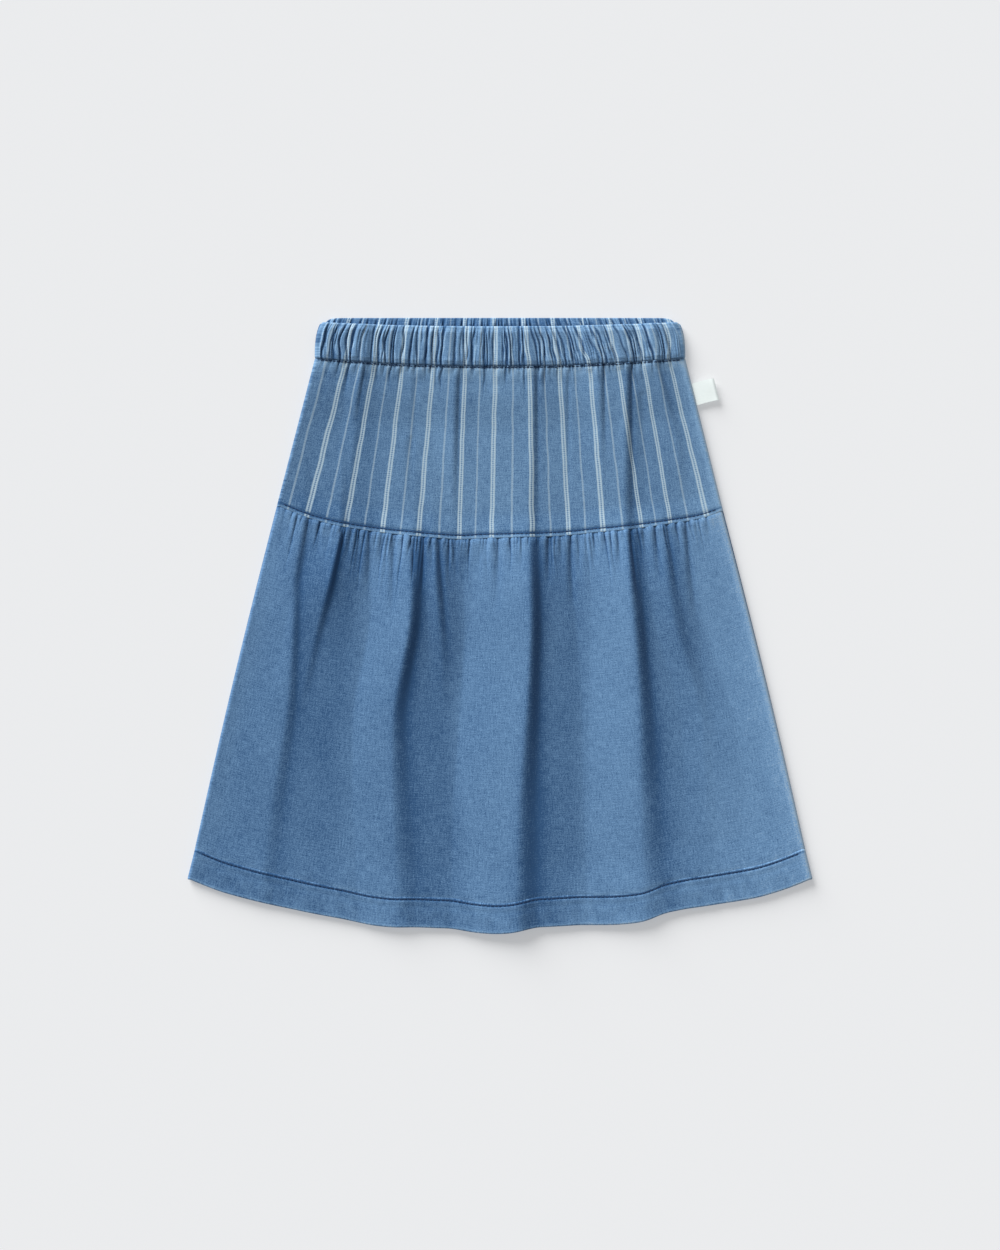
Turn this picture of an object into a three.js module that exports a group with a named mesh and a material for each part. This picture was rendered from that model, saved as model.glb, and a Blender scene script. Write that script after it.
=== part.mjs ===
// A child's denim skirt laid flat: a gathered elastic waistband, a striped yoke, a gathered tier and a hem.
// X runs across the skirt, Y from the hem up to the waist, and Z up from the surface that it lies on, all in
// millimetres. The front lies over the back, and the two meet in a rolled side seam on each side.
import * as THREE from "three";

const CLOTH_WALL = 1.2; // one layer of denim
const BACK_TIER_WALL = 1.5; // the back tier, with the slack of its gathers pressed flat under the front
const HEM_WALL = 2.0; // the hem, turned up double
const CASING_WALL = 2.6; // the waistband, two layers of denim round an elastic
const SEAM_GAP = 0.3; // left between two pieces that are sewn together

// Lines that cross the skirt, from side seam to side seam. half is half of a line's width, and middle and
// end are its places along Y. The larger the bend, the closer to its ends a line turns up, and tilt lowers
// its right end and lifts its left one.
const FRONT_LINES = {
  top: { half: 126.5, middle: 208.5, end: 211.5, bend: 2.2, tilt: 0 },
  waistSeam: { half: 129.5, middle: 180.6, end: 186.0, bend: 2.2, tilt: 0 },
  yokeEdge: { half: 156.0, middle: 61.2, end: 81.5, bend: 2.2, tilt: 1.8 },
  hemFold: { half: 213.5, middle: -190.0, end: -157.0, bend: 2.3, tilt: 0 },
  hemEdge: { half: 218.4, middle: -211.0, end: -178.0, bend: 2.3, tilt: 0 },
};
const BACK_LINES = {
  top: { half: 126.5, middle: 215.0, end: 211.5, bend: 8, tilt: 0 },
  waistSeam: { half: 129.5, middle: 187.0, end: 186.0, bend: 2.2, tilt: 0 },
  yokeEdge: { half: 156.0, middle: 67.0, end: 81.5, bend: 2.2, tilt: 1.8 },
  hemFold: { half: 213.5, middle: -182.0, end: -157.0, bend: 2.2, tilt: 0 },
  hemEdge: { half: 218.4, middle: -203.0, end: -178.0, bend: 2.2, tilt: 0 },
};

// Heights above the surface of the middle of the front cloth, at shares of a piece's length from its top.
const FRONT_LEVELS = {
  waistband: [
    { share: 0, z: 5.4 },
    { share: 1, z: 5.2 },
  ],
  yoke: [
    { share: 0, z: 4.9 },
    { share: 0.12, z: 4.4 },
    { share: 0.4, z: 2.8 },
    { share: 0.85, z: 2.6 },
    { share: 1, z: 3.7 },
  ],
  tier: [
    { share: 0, z: 3.4 },
    { share: 0.1, z: 3.2 },
    { share: 0.4, z: 2.4 },
    { share: 0.9, z: 2.8 },
    { share: 1, z: 3.3 },
  ],
  hem: [
    { share: 0, z: 3.4 },
    { share: 1, z: 3.2 },
  ],
};

// The large folds of the front, left to right. x is the middle of a fold's steep right side at each of the
// STATIONS along Y, and height is its crest above the cloth around it. Left of the crest the cloth climbs
// over rise, and right of it the cloth drops over fall and runs out over tail.
const STATIONS = [185, 130, 70, 40, 0, -60, -120, -190];
const FOLDS = [
  {
    x: [-134, -134, -134, -141, -142, -145, -154, -162],
    height: [0, 0, 1, 2.6, 3, 3, 2.6, 1.4],
    rise: 34,
    fall: 6,
    tail: 42,
  },
  {
    x: [-109, -109, -109, -114, -125, -138, -142, -146],
    height: [0, 0, 1.8, 5, 4, 0.6, 0, 0],
    rise: 22,
    fall: 5,
    tail: 20,
  },
  {
    x: [-93, -100, -108, -108, -108, -108, -108, -108],
    height: [1.6, 0.9, 0, 0, 0, 0, 0, 0],
    rise: 10,
    fall: 4,
    tail: 9,
  },
  {
    x: [-58, -58, -57, -57, -59, -70, -68, -63],
    height: [0, 0, 1.2, 6, 7.6, 7, 6.4, 6],
    rise: 26,
    fall: 8,
    tail: 34,
  },
  {
    x: [-44, -44, -44, -43, -39, -36, -36, -36],
    height: [0, 0, 0.6, 2, 1.4, 0, 0, 0],
    rise: 8,
    fall: 6,
    tail: 8,
  },
  {
    x: [-31, -30, -30, -30, -30, -30, -30, -30],
    height: [1, 1.3, 0.4, 0, 0, 0, 0, 0],
    rise: 14,
    fall: 5,
    tail: 12,
  },
  {
    x: [26, 25, 23, 27, 28, 26, 22, 21],
    height: [1.5, 1.8, 2.6, 7, 9, 9, 8.6, 8],
    rise: 46,
    fall: 8,
    tail: 34,
  },
  {
    x: [70, 72, 74, 74, 74, 74, 74, 74],
    height: [1.5, 0.8, 0, 0, 0, 0, 0, 0],
    rise: 12,
    fall: 5,
    tail: 8,
  },
  {
    x: [90, 91, 91, 95, 99, 105, 107, 110],
    height: [2.4, 3.6, 3.2, 7.4, 9, 8.6, 7.6, 6.4],
    rise: 36,
    fall: 8,
    tail: 36,
  },
  {
    x: [110, 127, 127, 127, 127, 127, 127, 127],
    height: [1.8, 0.8, 0, 0, 0, 0, 0, 0],
    rise: 12,
    fall: 5,
    tail: 8,
  },
  {
    x: [118, 118, 118, 120, 126, 146, 152, 158],
    height: [0, 0, 0.8, 2.2, 2.4, 1.2, 0.4, 0],
    rise: 14,
    fall: 9,
    tail: 12,
  },
];
const FLANK_SHARE = 0.65; // the part of a fold's height that it loses on its steep side
const FOLD_PULL = 1.85; // how far folds carry the hem down, for each step of the logarithm of their height

// The small gathers. height is the tallest and reach the longest that a gather runs down from the seam.
const GATHERS = {
  frontWaist: { count: 50, height: 1.0, reach: 30, salt: 1 },
  backWaist: { count: 48, height: 0.9, reach: 30, salt: 2 },
  frontTier: { count: 54, height: 1.3, reach: 60, salt: 3 },
  backTier: { count: 46, height: 0.8, reach: 60, salt: 4 },
};
const GATHER_SPREAD = 0.5; // how unequal the gathers are in width
const GATHER_SHARES = [0, 0.35, 0.7]; // the places across a gather that a front piece has points at
const CREST_ROUNDNESS = 0.8; // under 1, gathers have full crests and narrow valleys
const WAISTBAND_SLANT = 5; // how far the gathers on the right of the waistband lean over its height
const TURNED_EDGE = 0.35; // how thick the waistband's upper edge is, as a share of its swell below
const TURNED_SHARE = 0.12; // the share of the waistband's height over which it swells
const TIER_BULGE = 0.035; // how far the tier's sides stand out from straight, as a share of its flare

const EDGE_WIDTH = 26; // the strip beside a side seam where the cloth rises into its roll
const ROLL_ANGLES = [0, 45, 90].map(THREE.MathUtils.degToRad);

// The blank folded label in the right side seam, with the place of its middle along Y.
const LABEL = { length: 15.5, width: 15.5, wall: 1.0, y: 161 };

const { lerp, inverseLerp, clamp, smoothstep } = THREE.MathUtils;

// A number from 0 to 1 that is always the same for the same index and salt.
function scatter(index, salt) {
  const wave = Math.sin(index * 12.9898 + salt * 78.233) * 43758.5453;
  return wave - Math.floor(wave);
}

function lineY(line, s) {
  return line.end + (line.middle - line.end) * (1 - Math.abs(s) ** line.bend) - line.tilt * s;
}

function readTable(table, share) {
  const next = table.findIndex((row) => row.share >= share);
  if (next <= 0) return table[Math.max(next, 0)].z;
  const [a, b] = [table[next - 1], table[next]];
  return lerp(a.z, b.z, smoothstep(share, a.share, b.share));
}

function readStations(values, y) {
  const next = STATIONS.findIndex((station) => station <= y);
  if (next <= 0) return next === 0 ? values[0] : values.at(-1);
  return lerp(values[next - 1], values[next], inverseLerp(STATIONS[next - 1], STATIONS[next], y));
}

// Gathers across a seam, from s = -1 to s = 1, of unequal widths, heights and lengths.
function makeGathers({ count, height, reach, salt }) {
  const widths = Array.from({ length: count }, (_, k) => 1 + GATHER_SPREAD * (2 * scatter(k, salt) - 1));
  const total = widths.reduce((sum, width) => sum + width, 0);
  let left = -1;
  return widths.map((width, k) => {
    const right = left + (2 * width) / total;
    const gather = {
      left,
      right,
      height: height * lerp(0.55, 1, scatter(k, salt + 10)),
      reach: reach * lerp(0.2, 1, scatter(k, salt + 20) ** 3),
    };
    left = right;
    return gather;
  });
}

// The height of the gathers at s, at a distance from the seam that they start from.
function gatherHeight(gathers, s, distance) {
  const gather = gathers.find((g) => s < g.right) ?? gathers.at(-1);
  const across = clamp((s - gather.left) / (gather.right - gather.left), 0, 1);
  const crest = Math.sin(Math.PI * across) ** CREST_ROUNDNESS;
  return gather.height * crest * (1 - smoothstep(distance, 0, gather.reach));
}

// The height of one large fold at a place in plan.
function foldHeight(fold, x, y) {
  const height = readStations(fold.height, y);
  const along = x - readStations(fold.x, y);
  const half = fold.fall / 2;
  const foot = height * (1 - FLANK_SHARE);
  if (along < -half) return height * clamp((along + half + fold.rise) / fold.rise, 0, 1);
  if (along < half) return lerp(height, foot, smoothstep(along, -half, half));
  return foot * (1 - clamp((along - half) / fold.tail, 0, 1));
}

const sumFolds = (x, y) => FOLDS.reduce((sum, fold) => sum + foldHeight(fold, x, y), 0);

// A closed wall between an outer and an inner face, each a function of a column and a share of the length.
function wallBetween(columns, outer, outerRows, inner, innerRows) {
  const points = [];
  const faces = [];
  const grid = (face, rows) => {
    const start = points.length / 3;
    rows.forEach((row) => columns.forEach((column) => points.push(...face(column, row).toArray())));
    return (row, column) => start + row * columns.length + column;
  };
  const outerAt = grid(outer, outerRows);
  const innerAt = grid(inner, innerRows);
  const quad = (a, b, c, d) => faces.push(a, b, c, a, c, d);
  const cover = (at, rows, flip) => {
    for (let r = 0; r < rows - 1; r++) {
      for (let c = 0; c < columns.length - 1; c++) {
        const corners = [at(r, c), at(r + 1, c), at(r + 1, c + 1), at(r, c + 1)];
        quad(...(flip ? corners.reverse() : corners));
      }
    }
  };
  cover(outerAt, outerRows.length, false);
  cover(innerAt, innerRows.length, true);
  const lastOuter = outerRows.length - 1;
  const lastInner = innerRows.length - 1;
  for (let c = 0; c < columns.length - 1; c++) {
    const [a, b] = [c, c + 1];
    quad(innerAt(0, a), outerAt(0, a), outerAt(0, b), innerAt(0, b));
    quad(outerAt(lastOuter, a), innerAt(lastInner, a), innerAt(lastInner, b), outerAt(lastOuter, b));
  }
  // An end is zipped shut from the first row to the last, whichever face has its next row closer.
  const zip = (c, flip) => {
    let [o, i] = [0, 0];
    while (o < lastOuter || i < lastInner) {
      const takeOuter = i === lastInner || (o < lastOuter && outerRows[o + 1] <= innerRows[i + 1]);
      const corners = [outerAt(o, c), innerAt(i, c), takeOuter ? outerAt(o + 1, c) : innerAt(i + 1, c)];
      faces.push(...(flip ? corners.reverse() : corners));
      if (takeOuter) o += 1;
      else i += 1;
    }
  };
  zip(0, false);
  zip(columns.length - 1, true);
  const geometry = new THREE.BufferGeometry();
  geometry.setAttribute("position", new THREE.Float32BufferAttribute(points, 3));
  if (signedVolume(points, faces) < 0) faces.reverse(); // a back piece's outer face is its lower one
  geometry.setIndex(faces);
  geometry.computeVertexNormals();
  return geometry;
}

function signedVolume(points, faces) {
  const corner = (i) => new THREE.Vector3().fromArray(points, faces[i] * 3);
  let sum = 0;
  for (let i = 0; i < faces.length; i += 3) sum += corner(i).dot(corner(i + 1).cross(corner(i + 2)));
  return sum / 6;
}

// Columns across a piece: the left side seam's roll, the cloth between the seams, and the right seam's roll.
function columnsAcross(inside) {
  const flat = Math.PI / 2;
  const left = ROLL_ANGLES.map((roll) => ({ s: -1, roll }));
  const right = [...ROLL_ANGLES].reverse().map((roll) => ({ s: 1, roll }));
  return [...left, ...inside.map((s) => ({ s, roll: flat })), ...right];
}

function gatherColumns(gathers, shares) {
  const places = gathers.flatMap((gather) => shares.map((share) => lerp(gather.left, gather.right, share)));
  return places.filter((s) => s > -1);
}

const evenColumns = (count) => Array.from({ length: count - 1 }, (_, k) => -1 + (2 * (k + 1)) / count);

// Half of a piece's width at a share of its length.
function halfWidth({ from, to, spread }, share) {
  return lerp(from.half, to.half, spread ? spread(share) : share);
}

const rollRadius = (piece, share) => lerp(piece.roll[0], piece.roll[1], share);

// Where a column of a piece lies in plan, with the ends that are sewn drawn back by half a seam gap.
function planPoint(piece, column, share) {
  const { from, to } = piece;
  const side = Math.sign(column.s);
  const roll = rollRadius(piece, share);
  let x = column.s * (halfWidth(piece, share) - piece.wall / 2 - roll) + side * roll * Math.cos(column.roll);
  if (piece.slant) x += piece.slant(column.s, share);
  const [top, bottom] = [lineY(from, column.s), lineY(to, column.s)];
  const start = top - (piece.openTop ? 0 : SEAM_GAP / 2);
  const end = bottom + (piece.openBottom ? 0 : SEAM_GAP / 2);
  return { x, y: lerp(start, end, share) };
}

// How close s is to a side seam: 1 on the seam, 0 past the strip beside it.
function nearSeam(piece, s, share) {
  return (1 - clamp((halfWidth(piece, share) * (1 - Math.abs(s))) / EDGE_WIDTH, 0, 1)) ** 2;
}

// The middle of a front piece's cloth, without its small gathers.
function frontMiddle(piece, column, share) {
  const { x, y } = planPoint(piece, column, share);
  const roll = rollRadius(piece, share);
  const seamTop = piece.wall / 2 + 2 * roll + SEAM_GAP;
  const edge = nearSeam(piece, column.s, share);
  const fold = piece.folded ? sumFolds(x, y) * (1 - edge) : 0;
  const z = lerp(readTable(piece.levels, share), seamTop, edge) + fold - roll * (1 - Math.sin(column.roll));
  const pull = piece.pull ? piece.pull(share) * FOLD_PULL * Math.log1p(fold) : 0;
  return new THREE.Vector3(x, y - pull, z);
}

// Square to the cloth in the plane of X and Z, pointing up or outwards.
function frontNormal(piece, column, share) {
  if (column.roll < Math.PI / 2) {
    return new THREE.Vector3(Math.sign(column.s) * Math.cos(column.roll), 0, Math.sin(column.roll));
  }
  const step = 0.004;
  const at = (s) => frontMiddle(piece, { s: clamp(s, -1, 1), roll: column.roll }, share);
  const across = at(column.s + step).sub(at(column.s - step));
  return new THREE.Vector3(-across.z, 0, across.x).normalize();
}

// How far down from the seam that its gathers hang on a share of a piece's length is.
function gatherDistance(piece, share) {
  return piece.gatherFrom ? share * (piece.from.middle - piece.to.middle) : 0;
}

function frontPiece(piece) {
  const outer = (column, share) => {
    const shape = piece.gathers ? gatherHeight(piece.gathers, column.s, gatherDistance(piece, share)) : 0;
    const ease = piece.turnedTop ? lerp(TURNED_EDGE, 1, smoothstep(share, 0, TURNED_SHARE)) : 1;
    const offset = (piece.wall / 2 + shape * Math.sin(column.roll)) * ease;
    return frontMiddle(piece, column, share).addScaledVector(frontNormal(piece, column, share), offset);
  };
  const inner = (column, share) =>
    frontMiddle(piece, column, share).addScaledVector(frontNormal(piece, column, share), -piece.wall / 2);
  return wallBetween(piece.columns, outer, piece.rows, inner, piece.innerRows ?? piece.rows);
}

// A back piece lies on the surface: its gathers' crests touch it, and the cloth between them lifts off.
function backPiece(piece) {
  const tallest = (share) => {
    if (!piece.gathers) return 0;
    return piece.gatherDepth * (1 - smoothstep(gatherDistance(piece, share), 0, piece.gatherReach));
  };
  const face = (column, share, side) => {
    const { x, y } = planPoint(piece, column, share);
    const roll = rollRadius(piece, share);
    const middle = new THREE.Vector3(x, y, piece.wall / 2 + roll * (1 - Math.sin(column.roll)));
    const out = new THREE.Vector3(Math.sign(column.s) * Math.cos(column.roll), 0, -Math.sin(column.roll));
    return middle.addScaledVector(out, (side * piece.wall) / 2);
  };
  const lift = (column, share) => Math.sin(column.roll) * (1 - nearSeam(piece, column.s, share));
  const outer = (column, share) => {
    const point = face(column, share, 1);
    const crest = piece.gathers ? gatherHeight(piece.gathers, column.s, gatherDistance(piece, share)) : 0;
    point.z += Math.max(tallest(share) - crest, 0) * lift(column, share);
    return point;
  };
  const inner = (column, share) => {
    const point = face(column, share, -1);
    const raised = piece.crestsInside ? gatherHeight(piece.gathers, column.s, 0) : tallest(share);
    point.z += raised * lift(column, share);
    return point;
  };
  return wallBetween(piece.columns, outer, piece.rows, inner, piece.rows);
}

// A folded label, standing out of the side seam at its mid-height.
function labelGeometry() {
  const outline = new THREE.Shape()
    .moveTo(SEAM_GAP, -LABEL.width / 2)
    .lineTo(LABEL.length, -LABEL.width / 2)
    .lineTo(LABEL.length, LABEL.width / 2)
    .lineTo(SEAM_GAP, LABEL.width / 2);
  return new THREE.ExtrudeGeometry(outline, { depth: LABEL.wall, bevelEnabled: false });
}

const PLAIN_DENIM = 0x5a7ea6;
const STRIPED_DENIM = 0x6c94bd;
const LABEL_WHITE = 0xe9f2ee;
const cloth = (color) => new THREE.MeshStandardMaterial({ color, roughness: 0.92, metalness: 0 });

const frontWaistGathers = makeGathers(GATHERS.frontWaist);
const backWaistGathers = makeGathers(GATHERS.backWaist);
const frontTierGathers = makeGathers(GATHERS.frontTier);
const backTierGathers = makeGathers(GATHERS.backTier);

const WAIST_ROLL = [1.9, 1.9];
const YOKE_ROLL = [2.0, 1.4];
const TIER_ROLL = [1.4, 1.4];
const BACK_TIER_ROLL = TIER_ROLL.map((roll) => roll - (BACK_TIER_WALL - CLOTH_WALL) / 2);
const HEM_ROLL = [1.3, 1.3];
const WHOLE_LENGTH = Infinity;

const roundedSides = (share) => 1 - (1 - share) ** 3;
const bulgedSides = (share) => share + TIER_BULGE * Math.sin(Math.PI * share);
const slantRight = (s, share) => WAISTBAND_SLANT * Math.sin(Math.PI * clamp(s, 0, 1)) * (share - 0.5);

const pieces = {
  waistband_front: frontPiece({
    from: FRONT_LINES.top,
    to: FRONT_LINES.waistSeam,
    openTop: true,
    wall: CASING_WALL,
    roll: WAIST_ROLL,
    spread: roundedSides,
    slant: slantRight,
    levels: FRONT_LEVELS.waistband,
    gathers: frontWaistGathers,
    turnedTop: true,
    columns: columnsAcross(gatherColumns(frontWaistGathers, GATHER_SHARES)),
    rows: [0, TURNED_SHARE, 0.5, 1],
    innerRows: [0, 1],
  }),
  waistband_back: backPiece({
    from: BACK_LINES.top,
    to: BACK_LINES.waistSeam,
    openTop: true,
    wall: CASING_WALL,
    roll: WAIST_ROLL,
    spread: roundedSides,
    gathers: backWaistGathers,
    gatherDepth: 0.5,
    gatherReach: WHOLE_LENGTH,
    crestsInside: true,
    columns: columnsAcross(gatherColumns(backWaistGathers, [0, 0.5])),
    rows: [0, 0.3, 1],
  }),
  yoke_front: frontPiece({
    from: FRONT_LINES.waistSeam,
    to: FRONT_LINES.yokeEdge,
    wall: CLOTH_WALL,
    roll: YOKE_ROLL,
    levels: FRONT_LEVELS.yoke,
    folded: true,
    gathers: frontWaistGathers,
    gatherFrom: true,
    columns: columnsAcross(gatherColumns(frontWaistGathers, [0, 0.5])),
    rows: [0, 0.06, 0.16, 0.38, 0.75, 1],
  }),
  yoke_back: backPiece({
    from: BACK_LINES.waistSeam,
    to: BACK_LINES.yokeEdge,
    wall: CLOTH_WALL,
    roll: YOKE_ROLL,
    gathers: backWaistGathers,
    gatherFrom: true,
    gatherDepth: 0.7,
    gatherReach: 24,
    columns: columnsAcross(gatherColumns(backWaistGathers, [0, 0.5])),
    rows: [0, 0.1, 0.24, 1],
  }),
  tier_front: frontPiece({
    from: FRONT_LINES.yokeEdge,
    to: FRONT_LINES.hemFold,
    wall: CLOTH_WALL,
    roll: TIER_ROLL,
    spread: bulgedSides,
    levels: FRONT_LEVELS.tier,
    folded: true,
    pull: (share) => smoothstep(share, 0.4, 1),
    gathers: frontTierGathers,
    gatherFrom: true,
    columns: columnsAcross(gatherColumns(frontTierGathers, GATHER_SHARES)),
    rows: [0, 0.03, 0.1, 0.22, 0.42, 0.7, 1],
  }),
  tier_back: backPiece({
    from: BACK_LINES.yokeEdge,
    to: BACK_LINES.hemFold,
    wall: BACK_TIER_WALL,
    roll: BACK_TIER_ROLL,
    spread: bulgedSides,
    gathers: backTierGathers,
    gatherFrom: true,
    gatherDepth: 0.8,
    gatherReach: 50,
    columns: columnsAcross(gatherColumns(backTierGathers, [0, 0.5])),
    rows: [0, 0.06, 0.2, 1],
  }),
  hem_front: frontPiece({
    from: FRONT_LINES.hemFold,
    to: FRONT_LINES.hemEdge,
    openBottom: true,
    wall: HEM_WALL,
    roll: HEM_ROLL,
    levels: FRONT_LEVELS.hem,
    folded: true,
    pull: () => 1,
    columns: columnsAcross(gatherColumns(frontTierGathers, GATHER_SHARES)),
    rows: [0, 1],
  }),
  hem_back: backPiece({
    from: BACK_LINES.hemFold,
    to: BACK_LINES.hemEdge,
    openBottom: true,
    wall: HEM_WALL,
    roll: HEM_ROLL,
    columns: columnsAcross(evenColumns(40)),
    rows: [0, 1],
  }),
};

const skirt = new THREE.Group();
for (const [name, geometry] of Object.entries(pieces)) {
  const striped = name.startsWith("waistband") || name.startsWith("yoke");
  const mesh = new THREE.Mesh(geometry, cloth(striped ? STRIPED_DENIM : PLAIN_DENIM));
  mesh.name = name;
  skirt.add(mesh);
}

// The label leaves the right side seam square to it, level with the gap between the front and the back.
const seamTop = new THREE.Vector2(FRONT_LINES.waistSeam.half, lineY(FRONT_LINES.waistSeam, 1));
const seamFoot = new THREE.Vector2(FRONT_LINES.yokeEdge.half, lineY(FRONT_LINES.yokeEdge, 1));
const seamShare = (seamTop.y - LABEL.y) / (seamTop.y - seamFoot.y);
const squareToSeam = Math.atan2(seamFoot.x - seamTop.x, seamTop.y - seamFoot.y);
const labelLevel = CLOTH_WALL / 2 + lerp(YOKE_ROLL[0], YOKE_ROLL[1], seamShare) + SEAM_GAP / 2;
const label = new THREE.Mesh(labelGeometry(), cloth(LABEL_WHITE));
label.name = "side_label";
label.position.set(lerp(seamTop.x, seamFoot.x, seamShare), LABEL.y, labelLevel - LABEL.wall / 2);
label.rotation.z = squareToSeam;
skirt.add(label);

export default skirt;
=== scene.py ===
# %% [markdown]
# # A child's denim skirt, laid flat
# The skirt lies on a pale floor and is seen from straight above. It has an elastic waistband, a striped
# yoke, a plain tier that is gathered into the yoke, and a topstitched hem. A front and a back of each lie
# on each other and meet in rolled side seams. Every length in this file is in millimetres, in the frame
# of the solids, until a mesh is filled, where MM turns it into metres.

# %% Load the frame
import math
from typing import Callable, NamedTuple

import bpy
import numpy as np
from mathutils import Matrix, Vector


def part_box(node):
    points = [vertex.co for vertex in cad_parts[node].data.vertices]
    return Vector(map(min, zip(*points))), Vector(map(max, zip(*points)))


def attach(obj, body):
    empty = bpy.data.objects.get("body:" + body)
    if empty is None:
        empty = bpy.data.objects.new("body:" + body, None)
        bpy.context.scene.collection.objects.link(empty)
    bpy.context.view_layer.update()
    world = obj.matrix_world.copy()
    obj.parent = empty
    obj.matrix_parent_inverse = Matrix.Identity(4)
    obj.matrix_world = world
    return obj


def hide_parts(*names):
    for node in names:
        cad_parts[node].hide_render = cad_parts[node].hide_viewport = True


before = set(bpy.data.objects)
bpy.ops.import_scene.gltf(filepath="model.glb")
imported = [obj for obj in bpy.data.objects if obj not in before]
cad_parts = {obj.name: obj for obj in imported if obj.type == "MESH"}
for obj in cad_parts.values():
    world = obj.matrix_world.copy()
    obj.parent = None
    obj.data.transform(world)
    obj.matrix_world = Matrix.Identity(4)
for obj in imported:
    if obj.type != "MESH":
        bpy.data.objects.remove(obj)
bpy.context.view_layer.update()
MM = 0.001
bpy.ops.object.select_all(action="DESELECT")

# %% [markdown]
# ## The camera
# The picture is taken from straight above with a long lens, so that nothing is seen from its side. The
# picture is 700 mm wide and 875 mm high at the floor, and the middle of the frame is the middle of the
# picture. The camera's height follows from the lens and that height.

# %% Place the camera
PICTURE_HEIGHT = 875
LENS = 85
SENSOR = 36
camera_height = PICTURE_HEIGHT / 2 / (SENSOR / 2 / LENS)
bpy.ops.object.camera_add(location=(0, 0, camera_height * MM), rotation=(0, 0, 0))
camera = bpy.context.object
camera.name = "overhead_camera"
camera.data.lens = LENS
camera.data.sensor_width = SENSOR
camera.data.clip_end = 50
bpy.context.scene.camera = camera
print("camera", round(camera_height), "mm above the floor")

# %% [markdown]
# ## The light
# A large soft lamp stands to the upper left and rather low, so that each fold has a bright left side and
# a dark right one. A sun lamp with a wide angle does this evenly over the whole floor. The room's own
# light fills the shadows, and comes from the world.

# %% Light the floor
KEY_HEIGHT = math.radians(22)
KEY_SIDE = math.radians(124)
KEY_STRENGTH = 5.7
KEY_SOFTNESS = math.radians(40)
ROOM_LIGHT = (0.299, 0.304, 0.310)

towards_light = Vector(
    (
        math.cos(KEY_HEIGHT) * math.cos(KEY_SIDE),
        math.cos(KEY_HEIGHT) * math.sin(KEY_SIDE),
        math.sin(KEY_HEIGHT),
    )
)
bpy.ops.object.light_add(type="SUN", rotation=towards_light.to_track_quat("Z", "Y").to_euler())
key = bpy.context.object
key.name = "soft_key_light"
key.data.energy = KEY_STRENGTH
key.data.angle = KEY_SOFTNESS
key.data.color = (1.0, 0.995, 0.985)

scene = bpy.context.scene
scene.world = bpy.data.worlds.new("room")
scene.world.use_nodes = True
scene.world.node_tree.nodes["Background"].inputs["Color"].default_value = (*ROOM_LIGHT, 1)
scene.view_settings.view_transform = "Standard"
print("key light", round(math.degrees(KEY_HEIGHT)), "degrees up, room light", ROOM_LIGHT)

# %% [markdown]
# ## Small tools for cloth
# A cloth simulation could drape the skirt, but wouldn't lay each fold where this one has it. So all cloth
# here is worked out as numbers on a grid, row by row and column by column, and the tools work on whole
# arrays at once. `scatter` gives an uneven number that is the same in each run.

# %% Mix, ease and scatter
def lerp(a, b, share):
    return a + (b - a) * share


def ease(value, low, high):
    share = np.clip((value - low) / (high - low), 0, 1)
    return share * share * (3 - 2 * share)


def bump(distance, width):
    return np.exp(-((distance / width) ** 2))


def scatter(index, salt):
    wave = np.sin(index * 12.9898 + salt * 78.233) * 43758.5453
    return wave - np.floor(wave)


def unevenness(u, v, salt):
    """Soft swells from -1 to 1, about one for each unit of u and of v."""
    cell_u, cell_v = np.floor(u), np.floor(v)
    across, along = ease(u - cell_u, 0, 1), ease(v - cell_v, 0, 1)

    def corner(right, up):
        return scatter(cell_u + right + 131.7 * (cell_v + up), salt)

    low = lerp(corner(0, 0), corner(1, 0), across)
    high = lerp(corner(0, 1), corner(1, 1), across)
    return 2 * lerp(low, high, along) - 1


print("four scattered numbers:", [round(float(scatter(k, 1)), 2) for k in range(4)])

# %% [markdown]
# ## The lines of the cut
# Each piece runs from one line across the skirt to the next one. A line has the half of its width, its
# place along Y in the middle and at its ends, and a bend that says how close to its ends it turns up.
# `s` runs along a line, from -1 at the left side seam to 1 at the right one.

# %% Lines of the front and of the back
class Line(NamedTuple):
    half: float
    middle: float
    end: float
    bend: float
    tilt: float = 0.0


FRONT_TOP = Line(124.8, 208.5, 211.5, 2.2)
FRONT_WAIST = Line(129.5, 180.6, 186.0, 2.2)
FRONT_YOKE_EDGE = Line(156.0, 61.2, 81.5, 2.2, 1.8)
FRONT_HEM_FOLD = Line(213.5, -190.0, -157.0, 2.3)
FRONT_HEM_EDGE = Line(218.4, -211.0, -178.0, 2.3)
BACK_TOP = Line(126.3, 214.8, 210.6, 50)
BACK_WAIST = Line(129.5, 187.0, 186.0, 2.2)
BACK_YOKE_EDGE = Line(156.0, 67.0, 81.5, 2.2, 1.8)
BACK_HEM_FOLD = Line(213.5, -182.0, -157.0, 2.2)
BACK_HEM_EDGE = Line(218.4, -203.0, -178.0, 2.2)


def line_y(line, s):
    return line.end + (line.middle - line.end) * (1 - np.abs(s) ** line.bend) - line.tilt * s


print("the front is", round(FRONT_TOP.middle - FRONT_HEM_EDGE.middle), "mm long in its middle")

# %% [markdown]
# ## Lines that sag
# No seam of a worn skirt keeps to its even line. The yoke's edge hangs lower on the left, and the hem dips
# under each large fold. Each row gives how many millimetres a line hangs below its course at one place.

# %% Sag tables
class Sag(NamedTuple):
    x: float
    low: float


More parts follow.
